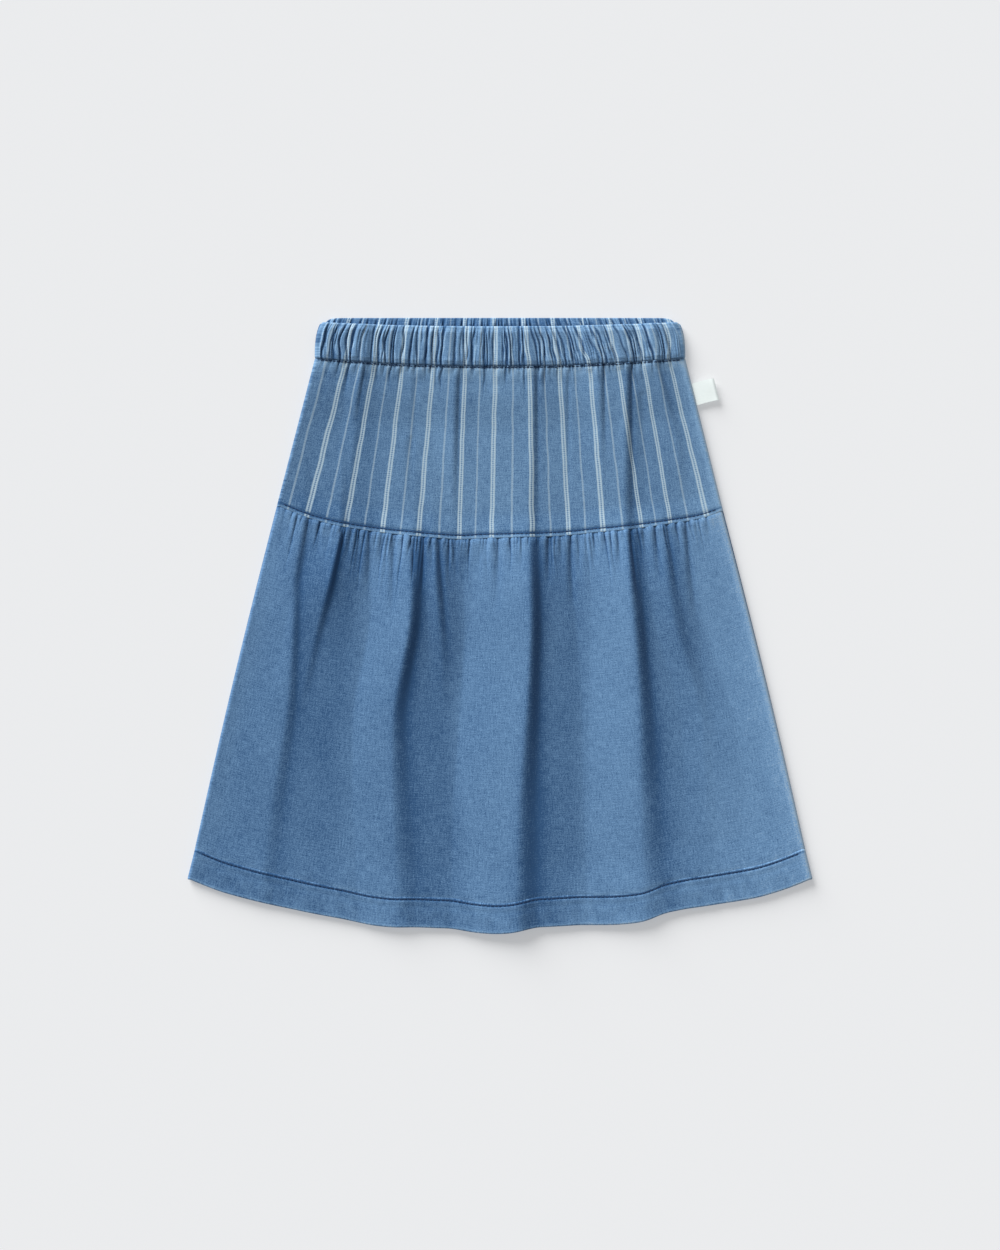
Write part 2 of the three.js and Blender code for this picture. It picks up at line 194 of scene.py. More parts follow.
YOKE_EDGE_SAGS = [
    Sag(-156, 1.2),
    Sag(-135, 2.6),
    Sag(-115, 3.2),
    Sag(-95, 2.6),
    Sag(-60, 1.9),
    Sag(-28, 1.9),
    Sag(-12, 0.4),
    Sag(16, -0.5),
    Sag(42, -0.7),
    Sag(66, -1.4),
    Sag(88, -0.9),
    Sag(120, 0.1),
    Sag(140, 1.6),
    Sag(156, 2.2),
]
HEM_SAGS = [
    Sag(-214, 1.2),
    Sag(-193, 1.5),
    Sag(-146, 0.8),
    Sag(-110, 1.4),
    Sag(-90, 3.2),
    Sag(-76, 3.2),
    Sag(-58, 1.8),
    Sag(-34, 1.6),
    Sag(-17, 4.1),
    Sag(-4, 4.9),
    Sag(8, 4.2),
    Sag(25, 0.5),
    Sag(55, 0.1),
    Sag(80, 1.9),
    Sag(92, 2.2),
    Sag(101, 1.8),
    Sag(115, -1.9),
    Sag(130, -2.4),
    Sag(155, -0.9),
    Sag(180, 1.3),
    Sag(214, 1.2),
]
SAG_SOFTNESS = (-4, -2, 0, 2, 4)
SAG_CHANGE = 0.4


def read_sags(sags, x):
    """How far a line hangs below its even course, in millimetres."""
    places = [sag.x for sag in sags]
    lows = [sag.low for sag in sags]
    return np.mean([np.interp(x + step, places, lows) for step in SAG_SOFTNESS], axis=0)


def yoke_sag(share, x):
    return share**2 * read_sags(YOKE_EDGE_SAGS, x)


def tier_sag(share, x):
    upper = (1 - ease(share, 0, SAG_CHANGE)) * read_sags(YOKE_EDGE_SAGS, x)
    return upper + ease(share, SAG_CHANGE, 1) * read_sags(HEM_SAGS, x)


def hem_sag(share, x):
    return read_sags(HEM_SAGS, x)


print("the yoke's edge hangs up to", max(sag.low for sag in YOKE_EDGE_SAGS), "mm low")
print("the hem hangs up to", max(sag.low for sag in HEM_SAGS), "mm low")

# %% [markdown]
# ## The large folds
# The tier hangs in broad folds that lean to the right: a long climb, a sharp crest, a steep dark side and a
# long run-out. Each is listed: `x` is the middle of its steep side and `height` its crest, at each of the
# stations along Y. The same folds are in the solids. Here their kinks are rounded off, and towards the hem
# they are a little lower and wider, because that gives their soft shading.

# %% Fold table
STATIONS = np.array([185, 130, 70, 40, 0, -60, -120, -190])


class Fold(NamedTuple):
    x: tuple
    height: tuple
    rise: float
    fall: float
    tail: float


FOLDS = [
    Fold((-134, -134, -134, -141, -142, -145, -154, -162), (0, 0, 1, 2.6, 2.6, 2.2, 1.5, 0.7), 34, 6, 42),
    Fold((-109, -109, -109, -114, -125, -138, -142, -146), (0, 0, 1.8, 5, 1.8, 0, 0, 0), 22, 5, 20),
    Fold((-93, -100, -108, -108, -108, -108, -108, -108), (1.6, 0.9, 0, 0, 0, 0, 0, 0), 10, 4, 9),
    Fold((-58, -58, -57, -57, -59, -70, -68, -63), (0, 0, 1.2, 5.8, 6.8, 4.4, 2.8, 2), 28, 8, 34),
    Fold((-44, -44, -44, -43, -39, -36, -36, -36), (0, 0, 0.6, 2, 1.4, 0, 0, 0), 8, 6, 8),
    Fold((-31, -30, -30, -30, -30, -30, -30, -30), (1, 1.3, 0.4, 0, 0, 0, 0, 0), 14, 5, 12),
    Fold((26, 25, 23, 24.5, 25.5, 23.5, 20.5, 20), (1.5, 1.8, 2.6, 7, 8.6, 7.8, 6, 4.6), 46, 8, 34),
    Fold((70, 72, 74, 74, 74, 74, 74, 74), (1.5, 0.8, 0, 0, 0, 0, 0, 0), 12, 5, 8),
    Fold((90, 91, 91, 93.5, 98, 103, 106, 110), (2.4, 3.6, 3.2, 7.4, 8.2, 5.8, 3.8, 2.4), 40, 9, 36),
    Fold((110, 127, 127, 127, 127, 127, 127, 127), (1.8, 0.8, 0, 0, 0, 0, 0, 0), 12, 5, 8),
    Fold((118, 118, 118, 120, 126, 146, 152, 158), (0, 0, 0.8, 2.2, 2.4, 1.2, 0.4, 0), 14, 9, 12),
]
print(len(FOLDS), "folds, the highest", max(max(fold.height) for fold in FOLDS), "mm")

# %% Heights of the folds
STATION_SOFTNESS = (-12, -6, 0, 6, 12)
FLANK_SHARE = 0.65
FLANK_OPENING = 2.0
FLANK_REACH = 170
CREST_SOFTNESS = {-1.6: 1, -0.8: 2, 0.0: 3, 0.8: 2, 1.6: 1}


def read_stations(values, y):
    readings = [np.interp(-(y + step), -STATIONS, values) for step in STATION_SOFTNESS]
    return np.mean(readings, axis=0)


def flank_width(fold, y):
    """A fold's steep side, which opens out towards the hem."""
    return fold.fall * lerp(1, FLANK_OPENING, ease(-y, 0, FLANK_REACH))


def fold_profile(fold, along, height, fall):
    half = fall / 2
    foot = height * (1 - FLANK_SHARE)
    climb = height * np.clip((along + half + fold.rise) / fold.rise, 0, 1)
    steep = lerp(height, foot, ease(along, -half, half))
    run_out = foot * (1 - np.clip((along - half) / fold.tail, 0, 1))
    return np.where(along < -half, climb, np.where(along < half, steep, run_out))


def fold_height(fold, x, y):
    along = x - read_stations(fold.x, y)
    height = read_stations(fold.height, y)
    fall = flank_width(fold, y)
    steps = CREST_SOFTNESS.items()
    parts = [weight * fold_profile(fold, along + step, height, fall) for step, weight in steps]
    return sum(parts) / sum(CREST_SOFTNESS.values())


def sum_folds(x, y):
    return sum(fold_height(fold, x, y) for fold in FOLDS)


print("the middle fold is", round(float(sum_folds(20.0, 0.0)), 1), "mm high beside its steep side")

# %% Shade of the folds
FULL_FLANK_HEIGHT = 5
FULL_LEE_HEIGHT = 2.5
FLANK_SHADE_PLACE = 0.1
FLANK_SHADE_WIDTH = 0.62
LEE_FADE = (0.6, 1.15)


def fold_shade(x, y):
    """Painted shade on the folds' steep sides and in their lee, which face away from the lamp."""
    flank, lee = 0, 0
    for fold in FOLDS:
        height = read_stations(fold.height, y)
        along = x - read_stations(fold.x, y)
        fall = flank_width(fold, y)
        on_flank = bump(along - FLANK_SHADE_PLACE * fall, FLANK_SHADE_WIDTH * fall)
        flank = flank + np.clip(height / FULL_FLANK_HEIGHT, 0, 1) * on_flank
        fade_start = fall / 2 + LEE_FADE[0] * fold.tail
        fade_end = fall / 2 + LEE_FADE[1] * fold.tail
        behind = ease(along, -fall / 2, fall / 2) * (1 - ease(along, fade_start, fade_end))
        lee = np.maximum(lee, behind * np.clip(height / FULL_LEE_HEIGHT, 0, 1))
    return flank, lee


# %% [markdown]
# ## Creases given one by one
# Below each gathered seam the cloth is drawn into narrow troughs of uneven length and depth, with a lip on
# the side that faces the light. Each one here is listed: where it starts, where it ends, how deep and how
# wide it is.

# %% Creases of the yoke
class Crease(NamedTuple):
    x: float
    y: float
    x_end: float
    y_end: float
    depth: float
    width: float


YOKE_CREASES = [
    Crease(-121, 180, -129, 138, 0.7, 2.5),
    Crease(-106, 180, -109, 160, 0.9, 1.6),
    Crease(-94.5, 180, -101, 136, 1.2, 1.6),
    Crease(-85, 181, -87, 165, 0.7, 1.6),
    Crease(-58, 182, -61, 118, 0.5, 2.2),
    Crease(-62, 130, -63, 76, 0.5, 3.0),
    Crease(-28, 182, -31, 72, 0.8, 1.8),
    Crease(-9.4, 181, -9, 160, 0.7, 1.6),
    Crease(25.7, 182, 26.5, 66, 1.0, 1.9),
    Crease(47.8, 176, 48, 84, 0.5, 1.6),
    Crease(72.3, 182, 74, 118, 1.0, 1.6),
    Crease(91.5, 183, 92.5, 70, 1.6, 1.9),
    Crease(99, 160, 103, 92, 0.5, 3.2),
    Crease(110.8, 183, 127, 128, 1.0, 2.2),
    Crease(131, 176, 136, 148, 0.5, 2.0),
]
print(len(YOKE_CREASES), "creases in the yoke")

# %% Creases of the tier
TIER_CREASES = [
    Crease(-157, 80, -160, 60, 0.9, 1.6),
    Crease(-151.5, 80, -155, 50, 1.2, 1.8),
    Crease(-134, 78, -137, 54, 0.8, 1.6),
    Crease(-125, 76, -128, 50, 0.8, 1.7),
    Crease(-110, 64, -118, 22, 1.8, 1.3),
    Crease(-103.5, 72, -107, 48, 1.0, 1.5),
    Crease(-98, 71, -101, 36, 0.9, 1.8),
    Crease(-91, 70, -92, 16, 1.0, 2.0),
    Crease(-82.5, 68, -84, 44, 0.9, 1.6),
    Crease(-74, 67, -75, 8, 1.2, 2.0),
    Crease(-62.4, 66, -59, 26, 1.6, 1.8),
    Crease(-53, 63, -55, 22, 1.6, 1.3),
    Crease(-47.6, 64, -47, 38, 1.2, 1.5),
    Crease(-43.4, 64, -37, -16, 1.3, 2.2),
    Crease(-36, 63, -35, 24, 1.0, 1.6),
    Crease(-31, 63, -31, 32, 0.7, 1.6),
    Crease(-21, 62, -22, 44, 0.6, 1.5),
    Crease(-11, 62, -12, 46, 0.8, 1.4),
    Crease(-1.4, 62, -2, 10, 0.9, 2.6),
    Crease(7, 62, 7, 44, 0.7, 1.4),
    Crease(15, 62, 15, 38, 0.7, 1.6),
    Crease(33.6, 63, 34, 28, 1.5, 1.7),
    Crease(42, 63, 43, 42, 0.9, 1.5),
    Crease(49, 63, 51, 12, 1.4, 2.0),
    Crease(56, 64, 57, 46, 0.8, 1.4),
    Crease(66, 65, 67, 42, 0.7, 1.5),
    Crease(73, 66, 74, 48, 0.8, 1.4),
    Crease(82.6, 67, 83, 36, 0.9, 1.6),
    Crease(90.5, 64, 96, 16, 1.8, 1.4),
    Crease(99.4, 69, 102, 48, 0.9, 1.4),
    Crease(107.8, 70, 112, 30, 1.2, 1.8),
    Crease(116, 72, 124, 20, 1.5, 2.0),
    Crease(123, 73, 128, 48, 0.9, 1.5),
    Crease(129, 74, 137, 4, 1.2, 2.2),
    Crease(136, 76, 140, 52, 0.8, 1.5),
    Crease(144, 78, 147, 58, 0.8, 1.4),
    Crease(152.6, 80, 156, 62, 0.8, 1.4),
]
print(len(TIER_CREASES), "creases in the tier")

# %% Heights of the creases
CREASE_OPENING = (0.8, 1.3)
CREASE_TAPER = 0.8
LIP_HEIGHT = 0.4
LIP_PLACE = 1.7
LIP_WIDTH = 1.5


def crease_height(crease, x, y):
    share = np.clip((crease.y - y) / (crease.y - crease.y_end), 0, 1)
    across = x - lerp(crease.x, crease.x_end, share)
    width = crease.width * lerp(*CREASE_OPENING, share)
    fade = (1 - share) ** CREASE_TAPER * (share < 1) * ease(crease.y - y, -4, 0)
    lip = LIP_HEIGHT * bump(across + LIP_PLACE * width, LIP_WIDTH * width)
    return crease.depth * fade * (lip - bump(across, width))


def sum_creases(creases, x, y):
    level = np.zeros(np.broadcast(x, y).shape)
    return sum((crease_height(crease, x, y) for crease in creases), level)


deepest = float(sum_creases(TIER_CREASES, np.arange(-150, 150, 0.5), 58.0).min())
print("the deepest crease just under the yoke is", round(-deepest, 1), "mm deep")

# %% [markdown]
# ## Gathers
# An elastic and a gathering thread both draw cloth into many small gathers, each with its own width,
# height and length. A row of gathers is made from a count and a salt, as in the solids, and a second and
# finer row is laid over it, so that gathers merge and split as real ones do.

# %% Rows of gathers
GATHER_SPREAD = 0.72
LOWEST_GATHER = 0.55
SHORTEST_GATHER = 0.2
SHALLOWEST_VALLEY = 0.35
SHORTEST_VALLEY = 0.12


class Gathers:
    def __init__(self, count, height, reach, salt):
        k = np.arange(count)
        widths = 1 + GATHER_SPREAD * (2 * scatter(k, salt) - 1)
        self.edges = np.concatenate([[-1], -1 + 2 * np.cumsum(widths) / widths.sum()])
        self.height = height * lerp(LOWEST_GATHER, 1, scatter(k, salt + 10))
        self.reach = reach * lerp(SHORTEST_GATHER, 1, scatter(k, salt + 20) ** 3)
        ends = np.arange(count + 1)
        self.pitch = 2 / count
        self.valley_depth = lerp(SHALLOWEST_VALLEY, 1, scatter(ends, salt + 30))
        self.valley_reach = reach * lerp(SHORTEST_VALLEY, 1, scatter(ends, salt + 40) ** 3)

    def near_valley(self, s):
        """The nearest valley, and how far off it is, in shares of a gather."""
        middles = (self.edges[1:] + self.edges[:-1]) / 2
        nearest = np.searchsorted(middles, s)
        return nearest, np.abs(s - self.edges[nearest]) / self.pitch

    def valley(self, s, distance, width):
        """1 in the deepest valleys and 0 beside them."""
        nearest, off = self.near_valley(s)
        fade = 1 - ease(distance, 0, self.valley_reach[nearest])
        return self.valley_depth[nearest] * bump(off, width) * fade

    def rim(self, s, place, width):
        """1 on the rubbed line that runs beside a valley."""
        nearest, off = self.near_valley(s)
        return self.valley_depth[nearest] * bump(off - place, width)

    def shape(self, s, roundness):
        """Which gather each s is in, and the share of its height there."""
        index = np.clip(np.searchsorted(self.edges, s) - 1, 0, len(self.height) - 1)
        left, right = self.edges[index], self.edges[index + 1]
        across = np.clip((s - left) / (right - left), 0, 1)
        return index, np.sin(math.pi * across) ** roundness

    def rise(self, s, distance, roundness=0.8):
        index, crest = self.shape(s, roundness)
        return self.height[index] * crest * (1 - ease(distance, 0, self.reach[index]))


FRONT_WAIST_GATHERS = Gathers(50, 1.0, 30, 1)
BACK_WAIST_GATHERS = Gathers(48, 0.9, 30, 2)
FRONT_TIER_GATHERS = Gathers(60, 1.2, 60, 3)
BACK_TIER_GATHERS = Gathers(46, 0.8, 60, 4)
FINE_WAIST_GATHERS = Gathers(83, 1.0, 16, 5)
FINE_TIER_GATHERS = Gathers(118, 1.0, 18, 6)
waist_pitch = 2 * FRONT_WAIST.half / len(FRONT_WAIST_GATHERS.height)
print("a gather of the waistband is about", round(waist_pitch, 1), "mm wide")

# %% [markdown]
# ## How a piece of cloth is described
# A piece has the lines that it runs between, a wall, the radius of its rolled side seams, and functions:
# `middle` gives the middle of the cloth at each grid point, `relief` its small ups and downs in
# millimetres, and `wash_and_painted_light` how pale (above 0) or dark (below 0) the cloth is painted there,
# for its wash and for painted light and shade. The insets draw its ends back from the lines, or push them
# under the next piece where they are negative.

# %% The piece
class Piece(NamedTuple):
    start: Line
    end: Line
    wall: float
    roll: tuple
    middle: Callable
    relief: Callable
    wash_and_painted_light: Callable
    columns: int
    rows: np.ndarray
    inner_rows: int = 10
    levels: tuple = ((0, 0), (1, 0))
    insets: tuple = (0.0, 0.0)
    spread: Callable = lambda share: share
    creases: tuple = ()
    swell: float = 0.0
    lowest: tuple = (0.0, 0.0)
    tuck: float = 0.0
    sag: Callable = lambda share, x: 0 * x
    bulge: Callable = None
    faces_up: bool = True
    stray: Callable = lambda s, share: 0 * s


EDGE_WIDTH = 26
SEAM_GAP = 0.3
GATHERED_LENGTH = 50
TUCK_LENGTH = 4.5


def length_of(piece):
    return piece.start.middle - piece.end.middle


def half_width(piece, share):
    return lerp(piece.start.half, piece.end.half, piece.spread(share))


def near_seam(piece, s, share):
    """1 on a side seam, falling to 0 over the strip beside it."""
    return (1 - np.clip(half_width(piece, share) * (1 - np.abs(s)) / EDGE_WIDTH, 0, 1)) ** 2


def even_all_over(piece, s, share, x, y):
    """No relief, or an even wash."""
    return 0 * x


print("a front piece comes up to its side seams over", EDGE_WIDTH, "mm")

# %% Where the grid of a piece lies
def read_levels(levels, share):
    table = np.array(levels, dtype=float)
    index = np.clip(np.searchsorted(table[:, 0], share) - 1, 0, len(table) - 2)
    low, high = table[index], table[index + 1]
    return lerp(low[..., 1], high[..., 1], ease(share, low[..., 0], high[..., 0]))


def plan(piece, s, angle, share):
    """Where the grid points lie from above, and the radius of the side seam's roll there."""
    radius = lerp(piece.roll[0], piece.roll[1], share)
    x = s * (half_width(piece, share) - piece.wall / 2 - radius) + np.sign(s) * radius * np.cos(angle)
    top = line_y(piece.start, s) - piece.insets[0]
    bottom = line_y(piece.end, s) + piece.insets[1]
    return x, lerp(top, bottom, share), radius


levels = ((0, 4), (0.5, 3), (1, 4))
print("levels of 4, 3 and 4 mm give", float(read_levels(levels, 0.25)), "mm a quarter of the way down")

# %% [markdown]
# A rolled side seam stands proud, so washing and use rub it paler than the cloth beside it. The right one
# is turned away from the lamp, so more light is painted onto its roll to show it as a pale line.

# %% Rubbed side seams, with painted light on the right one
RIGHT_STRIP_RUB_AND_PAINTED_LIGHT = 0.28
RIGHT_ROLL_RUB_AND_PAINTED_LIGHT = 0.75
SIDE_RUB = 0.1
RIGHT_STRIP_RUB_AND_PAINTED_LIGHT_REACH = (2.5, 6)
RIGHT_ROLL_RUB_AND_PAINTED_LIGHT_REACH = (0.6, 2)
SIDE_RUB_REACH = (5, 18)


def side_seams_rubbed_and_painted_light(piece, share, x):
    """Paler cloth along both side seams, and painted light on the right one's roll, which is in the shade.
    """
    from_side = half_width(piece, share) - np.abs(x)
    near = RIGHT_STRIP_RUB_AND_PAINTED_LIGHT * (1 - ease(from_side, *RIGHT_STRIP_RUB_AND_PAINTED_LIGHT_REACH))
    rolled = near + RIGHT_ROLL_RUB_AND_PAINTED_LIGHT * (1 - ease(from_side, *RIGHT_ROLL_RUB_AND_PAINTED_LIGHT_REACH))
    return SIDE_RUB * (1 - ease(from_side, *SIDE_RUB_REACH)) + np.where(x > 0, rolled, 0)


print("the right seam's roll is rubbed paler by up to", round(RIGHT_STRIP_RUB_AND_PAINTED_LIGHT + RIGHT_ROLL_RUB_AND_PAINTED_LIGHT + SIDE_RUB, 2))

# %% [markdown]
# The front lies on the back, so its middle has a level above the floor, and it rises over the folds. In
# the strip beside a side seam it comes up to the top of the seam's roll and turns round it. The back lies
# on the floor, so its underside is flat but for the gathers, which lift off the floor between their crests.

# %% The middle of a front and of a back piece
SWELL_CELL = (34, 70)


def front_middle(piece, s, angle, share):
    x, y, radius = plan(piece, s, angle, share)
    seam_top = piece.wall / 2 + 2 * radius + SEAM_GAP
    near = near_seam(piece, s, share)
    down = share * length_of(piece)
    fold = sum_folds(x, y) * (1 - near)
    tuck = piece.tuck * (1 - ease(down, 0, TUCK_LENGTH))
    swell = piece.swell * unevenness(x / SWELL_CELL[0], y / SWELL_CELL[1], 11)
    small = sum_creases(piece.creases, x, y) + swell - tuck
    lowest = lerp(piece.lowest[0], piece.lowest[1], ease(down, 0, GATHERED_LENGTH))
    height = np.maximum(read_levels(piece.levels, share) + fold + small * (1 - near), lowest)
    z = lerp(height, seam_top + fold - tuck, near) - radius * (1 - np.sin(angle))
    return np.stack([x, y - piece.sag(share, x) * (1 - near), z], axis=-1)


def back_middle(piece, s, angle, share):
    x, y, radius = plan(piece, s, angle, share)
    z = piece.wall / 2 + radius * (1 - np.sin(angle)) + 0 * x
    return np.stack([x, y, z], axis=-1)


# %% [markdown]
# ## Wrapping cloth round its section
# A piece is one grid that is wrapped round the cloth: down its outer face, round its lower edge, up its
# inner face, and round its upper edge to where it began. The first and last rows are then merged, and the
# two open ends in the side seams are filled. That gives a closed shell with rounded edges, with many
# points only where they show. The elastic's casing bulges on both faces, and all other cloth is one thin
# layer whose two faces go up and down together.

# %% The faces of the cloth
ROLL_STEPS = 6
EDGE_TURN = 6
CLOTH_FADE = 2
BAND_FADE = 16


class Face(NamedTuple):
    middle: np.ndarray
    normal: np.ndarray
    along: np.ndarray
    outer: np.ndarray
    inner: np.ndarray


def column_places(count):
    """s and the roll's angle for each column: a rolled seam, the cloth, and a rolled seam."""
    turn = np.linspace(0, math.pi / 2, ROLL_STEPS, endpoint=False)
    s = np.concatenate([-np.ones(ROLL_STEPS), np.linspace(-1, 1, count), np.ones(ROLL_STEPS)])
    angle = np.concatenate([turn, np.full(count, math.pi / 2), turn[::-1]])
    return s, angle


def unit(vectors):
    return vectors / np.maximum(np.linalg.norm(vectors, axis=-1, keepdims=True), 1e-9)


def cloth_face(piece, s, angle, shares):
    share = np.asarray(shares)[:, None]
    middle = piece.middle(piece, s, angle, share)
    along = np.gradient(middle, axis=0)
    normal = unit(np.cross(along, np.gradient(middle, axis=1)))
    x, y = middle[..., 0], middle[..., 1]
    fade = near_seam(piece, s, share) ** (BAND_FADE if piece.bulge else CLOTH_FADE)
    relief = piece.relief(piece, s, share, x, y) * np.sin(angle) * (1 - fade)
    facing = 1 if piece.faces_up else -1
    outer = facing * relief + piece.wall / 2
    inner = outer - piece.wall
    if piece.bulge:
        inner = -piece.wall / 2 - piece.bulge(piece, s, share, x, y) * np.sin(angle)
    return Face(middle, facing * normal, unit(along), outer[..., None], inner[..., None])


print("620 columns of cloth and its rolled seams:", len(column_places(620)[0]), "columns")

# %% Rows round the section
def turned_edge(face, row, wall, turns, side):
    """Rows round an edge of the cloth, one for each turn away from the outer face."""
    centre = (face.outer[row] + face.inner[row]) / 2
    reach = (face.outer[row] - face.inner[row]) / 2
    return [
        face.middle[row]
        + face.normal[row] * (centre + reach * math.cos(turn))
        + face.along[row] * side * wall / 2 * math.sin(turn)
        for turn in turns
    ]


def wrap_rows(piece, s, angle):
    """The points of every row round the section, and the share of the length that each row is at."""
    outer = cloth_face(piece, s, angle, piece.rows)
    inner_shares = np.linspace(0, 1, piece.inner_rows + 2)
    inner = cloth_face(piece, s, angle, inner_shares)
    turns = np.linspace(0, math.pi, EDGE_TURN + 1)
    rows = list(outer.middle + outer.normal * outer.outer)
    rows += turned_edge(outer, -1, piece.wall, turns[1:], 1)
    rows += list((inner.middle + inner.normal * inner.inner)[-2:0:-1])
    rows += turned_edge(outer, 0, piece.wall, turns[:0:-1], -1)
    rows.append(rows[0])
    ends = np.ones(EDGE_TURN), np.zeros(EDGE_TURN)
    shares = np.concatenate([piece.rows, ends[0], inner_shares[-2:0:-1], ends[1], piece.rows[:1]])
    return np.array(rows), shares


# %% [markdown]
# The stripes and the weave follow the cloth, so each piece gets a UV map in metres of cloth: u runs across
# it, with the same width of cloth for the same `s` in the yoke and its casing, and v runs down it. A second
# set of numbers, the attribute `wash_and_painted_light`, carries the wash and the painted light and shade
# to the material.

# %% Fill a mesh with a piece of cloth
CLOTH_HALF_WIDTH = 156
MERGE_WITHIN = 0.002


def fill_grid(obj, points, uv, wash_and_painted_light):
    mesh = obj.data
    mesh.vertices.foreach_set("co", (points.reshape(-1, 3) * MM).ravel())
    corners = np.empty(len(mesh.loops), dtype=np.int32)
    mesh.loops.foreach_get("vertex_index", corners)
    mesh.uv_layers[0].data.foreach_set("uv", (uv.reshape(-1, 2)[corners] * MM).ravel())
    # The attribute carries the wash and the painted light and shade to the material.
    mesh.attributes.new("wash_and_painted_light", "FLOAT", "POINT").data.foreach_set("value", wash_and_painted_light.ravel())


def close_shell():
    bpy.ops.object.mode_set(mode="EDIT")
    bpy.ops.mesh.select_all(action="SELECT")
    bpy.ops.mesh.remove_doubles(threshold=MERGE_WITHIN * MM)
    bpy.ops.mesh.fill_holes(sides=0)
    bpy.ops.mesh.select_all(action="SELECT")
    bpy.ops.mesh.normals_make_consistent(inside=False)
    bpy.ops.object.mode_set(mode="OBJECT")
    bpy.ops.object.shade_smooth()


def in_mm(corner):
    return [round(float(value), 1) for value in corner]


def sew_piece(node, piece):
    """The cloth that stands for a node of the frame."""
    s, angle = column_places(piece.columns)
    points, shares = wrap_rows(piece, s, angle)
    rows, columns = points.shape[:2]
    bpy.ops.mesh.primitive_grid_add(x_subdivisions=columns - 1, y_subdivisions=rows - 1, size=1)
    obj = bpy.context.object
    obj.name = node + "_cloth"
    across = s * CLOTH_HALF_WIDTH - piece.stray(s, shares[:, None]) + np.zeros((rows, 1))
    down = np.broadcast_to(shares[:, None] * length_of(piece) - piece.start.middle, (rows, columns))
    wash_and_painted_light = piece.wash_and_painted_light(piece, s, shares[:, None], points[..., 0], points[..., 1]) + 0 * across
    fill_grid(obj, points, np.stack([across, down], axis=-1), wash_and_painted_light)
    close_shell()
    solid = [in_mm(corner / MM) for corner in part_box(node)]
    cloth = [in_mm(points.min(axis=(0, 1))), in_mm(points.max(axis=(0, 1)))]
    print(obj.name, len(obj.data.polygons), "faces, reaches", cloth, "and its solid", solid)
    return obj


def closer_at_start(count, power=1.6, share=0.7):
    """Rows that lie closer together at a piece's upper end."""
    even = np.linspace(0, 1, count)
    return lerp(even, even**power, share)


print("the striped cloth is", 2 * CLOTH_HALF_WIDTH, "mm wide before it is gathered")

# %% [markdown]
# ## The waistband
# The yoke's cloth is folded over an elastic, which draws it into full soft gathers. They merge and split,
# and those on the right half lean, as the elastic has twisted a little there. Their crests are rubbed pale,
# and painted shade darkens their valleys and the cloth between the crests. The back half stands a little
# higher, so its inner face shows.

# %% Gathers of the waistband
BAND_WALL = 2.6
BAND_ROLL = (1.9, 1.9)
BAND_LEAN = 0.05
BAND_WARP = 0.010
FINE_WARP = 0.7
BAND_ROUNDNESS = 0.62
FINE_CREST = 0.35
VALLEY_WIDTH = 0.12
FINE_VALLEY_WIDTH = 0.17
RIM_PLACE = 0.27
RIM_WIDTH = 0.1
FINE_RIM_PLACE = 0.36
FINE_RIM_WIDTH = 0.13
DEEPEST_VALLEY = 1.2


def band_places(s, share):
    """Where each point of the elastic lies along its rows of gathers, which lean and waver."""
    leant = s - BAND_LEAN * np.sin(math.pi * np.clip(s, 0, 1)) * (share - 0.5)
    broad = leant + BAND_WARP * unevenness(s * 26, share * 2.2, 21)
    fine = leant + FINE_WARP * BAND_WARP * unevenness(s * 40, share * 3.1, 23)
    return broad, fine


def band_folds(gathers, s, share):
    """The height of the crests, the depth of the valleys, and the rubbed lines beside them."""
    broad, fine = band_places(s, share)
    mixed = ease(unevenness(s * 22, share * 1.6, 22), -0.6, 0.4)
    level = 0 * broad
    crest = gathers.rise(broad, level, BAND_ROUNDNESS)
    crest = crest + FINE_CREST * mixed * FINE_WAIST_GATHERS.rise(fine, level)
    valley = gathers.valley(broad, level, VALLEY_WIDTH)
    valley = valley + mixed * FINE_WAIST_GATHERS.valley(fine, level, FINE_VALLEY_WIDTH)
    rim = gathers.rim(broad, RIM_PLACE, RIM_WIDTH)
    rim = rim + mixed * FINE_WAIST_GATHERS.rim(fine, FINE_RIM_PLACE, FINE_RIM_WIDTH)
    return crest, np.clip(valley, 0, DEEPEST_VALLEY), np.clip(rim, 0, DEEPEST_VALLEY)


band_crests = band_folds(FRONT_WAIST_GATHERS, np.linspace(-1, 1, 400), np.full(400, 0.5))[0]
print("the band's highest crest is", round(float(band_crests.max()), 2), "of a full gather high")

# %% Relief of the waistband
BAND_RELIEF = 1.6
BAND_CREASE = 0.8
BAND_RIM_RELIEF = 0.25
TURNED_EDGE = 0.35
TURNED_SHARE = 0.14
FOOT_EDGE = 0.6
FOOT_SHARE = 0.1


def band_relief_of(gathers):
    def relief(piece, s, share, x, y):
        crest, valley, rim = band_folds(gathers, s, share)
        at_top = lerp(TURNED_EDGE, 1, ease(share, 0, TURNED_SHARE))
        eased = at_top * lerp(FOOT_EDGE, 1, ease(1 - share, 0, FOOT_SHARE))
        return (BAND_RELIEF * crest - BAND_CREASE * valley + BAND_RIM_RELIEF * rim) * eased

    return relief


def rounded_sides(share):
    return 1 - (1 - share) ** 3


print("half way down, the band has reached", rounded_sides(0.5), "of its lower edge's extra width")

# %% Wash and painted shade of the waistband
BAND_RIM_RUB = 0.72
BAND_CRESTS_RUBBED_AND_SHADED = 0.3
BAND_VALLEY_DARK = 0.45
BAND_TOP_RUB = 0.1
BAND_FOOT_DARK = 0.1
BAND_RIGHT_PALER = 0.08
FRONT_BAND_TONE = 0.03
BACK_BAND_TONE = -0.3


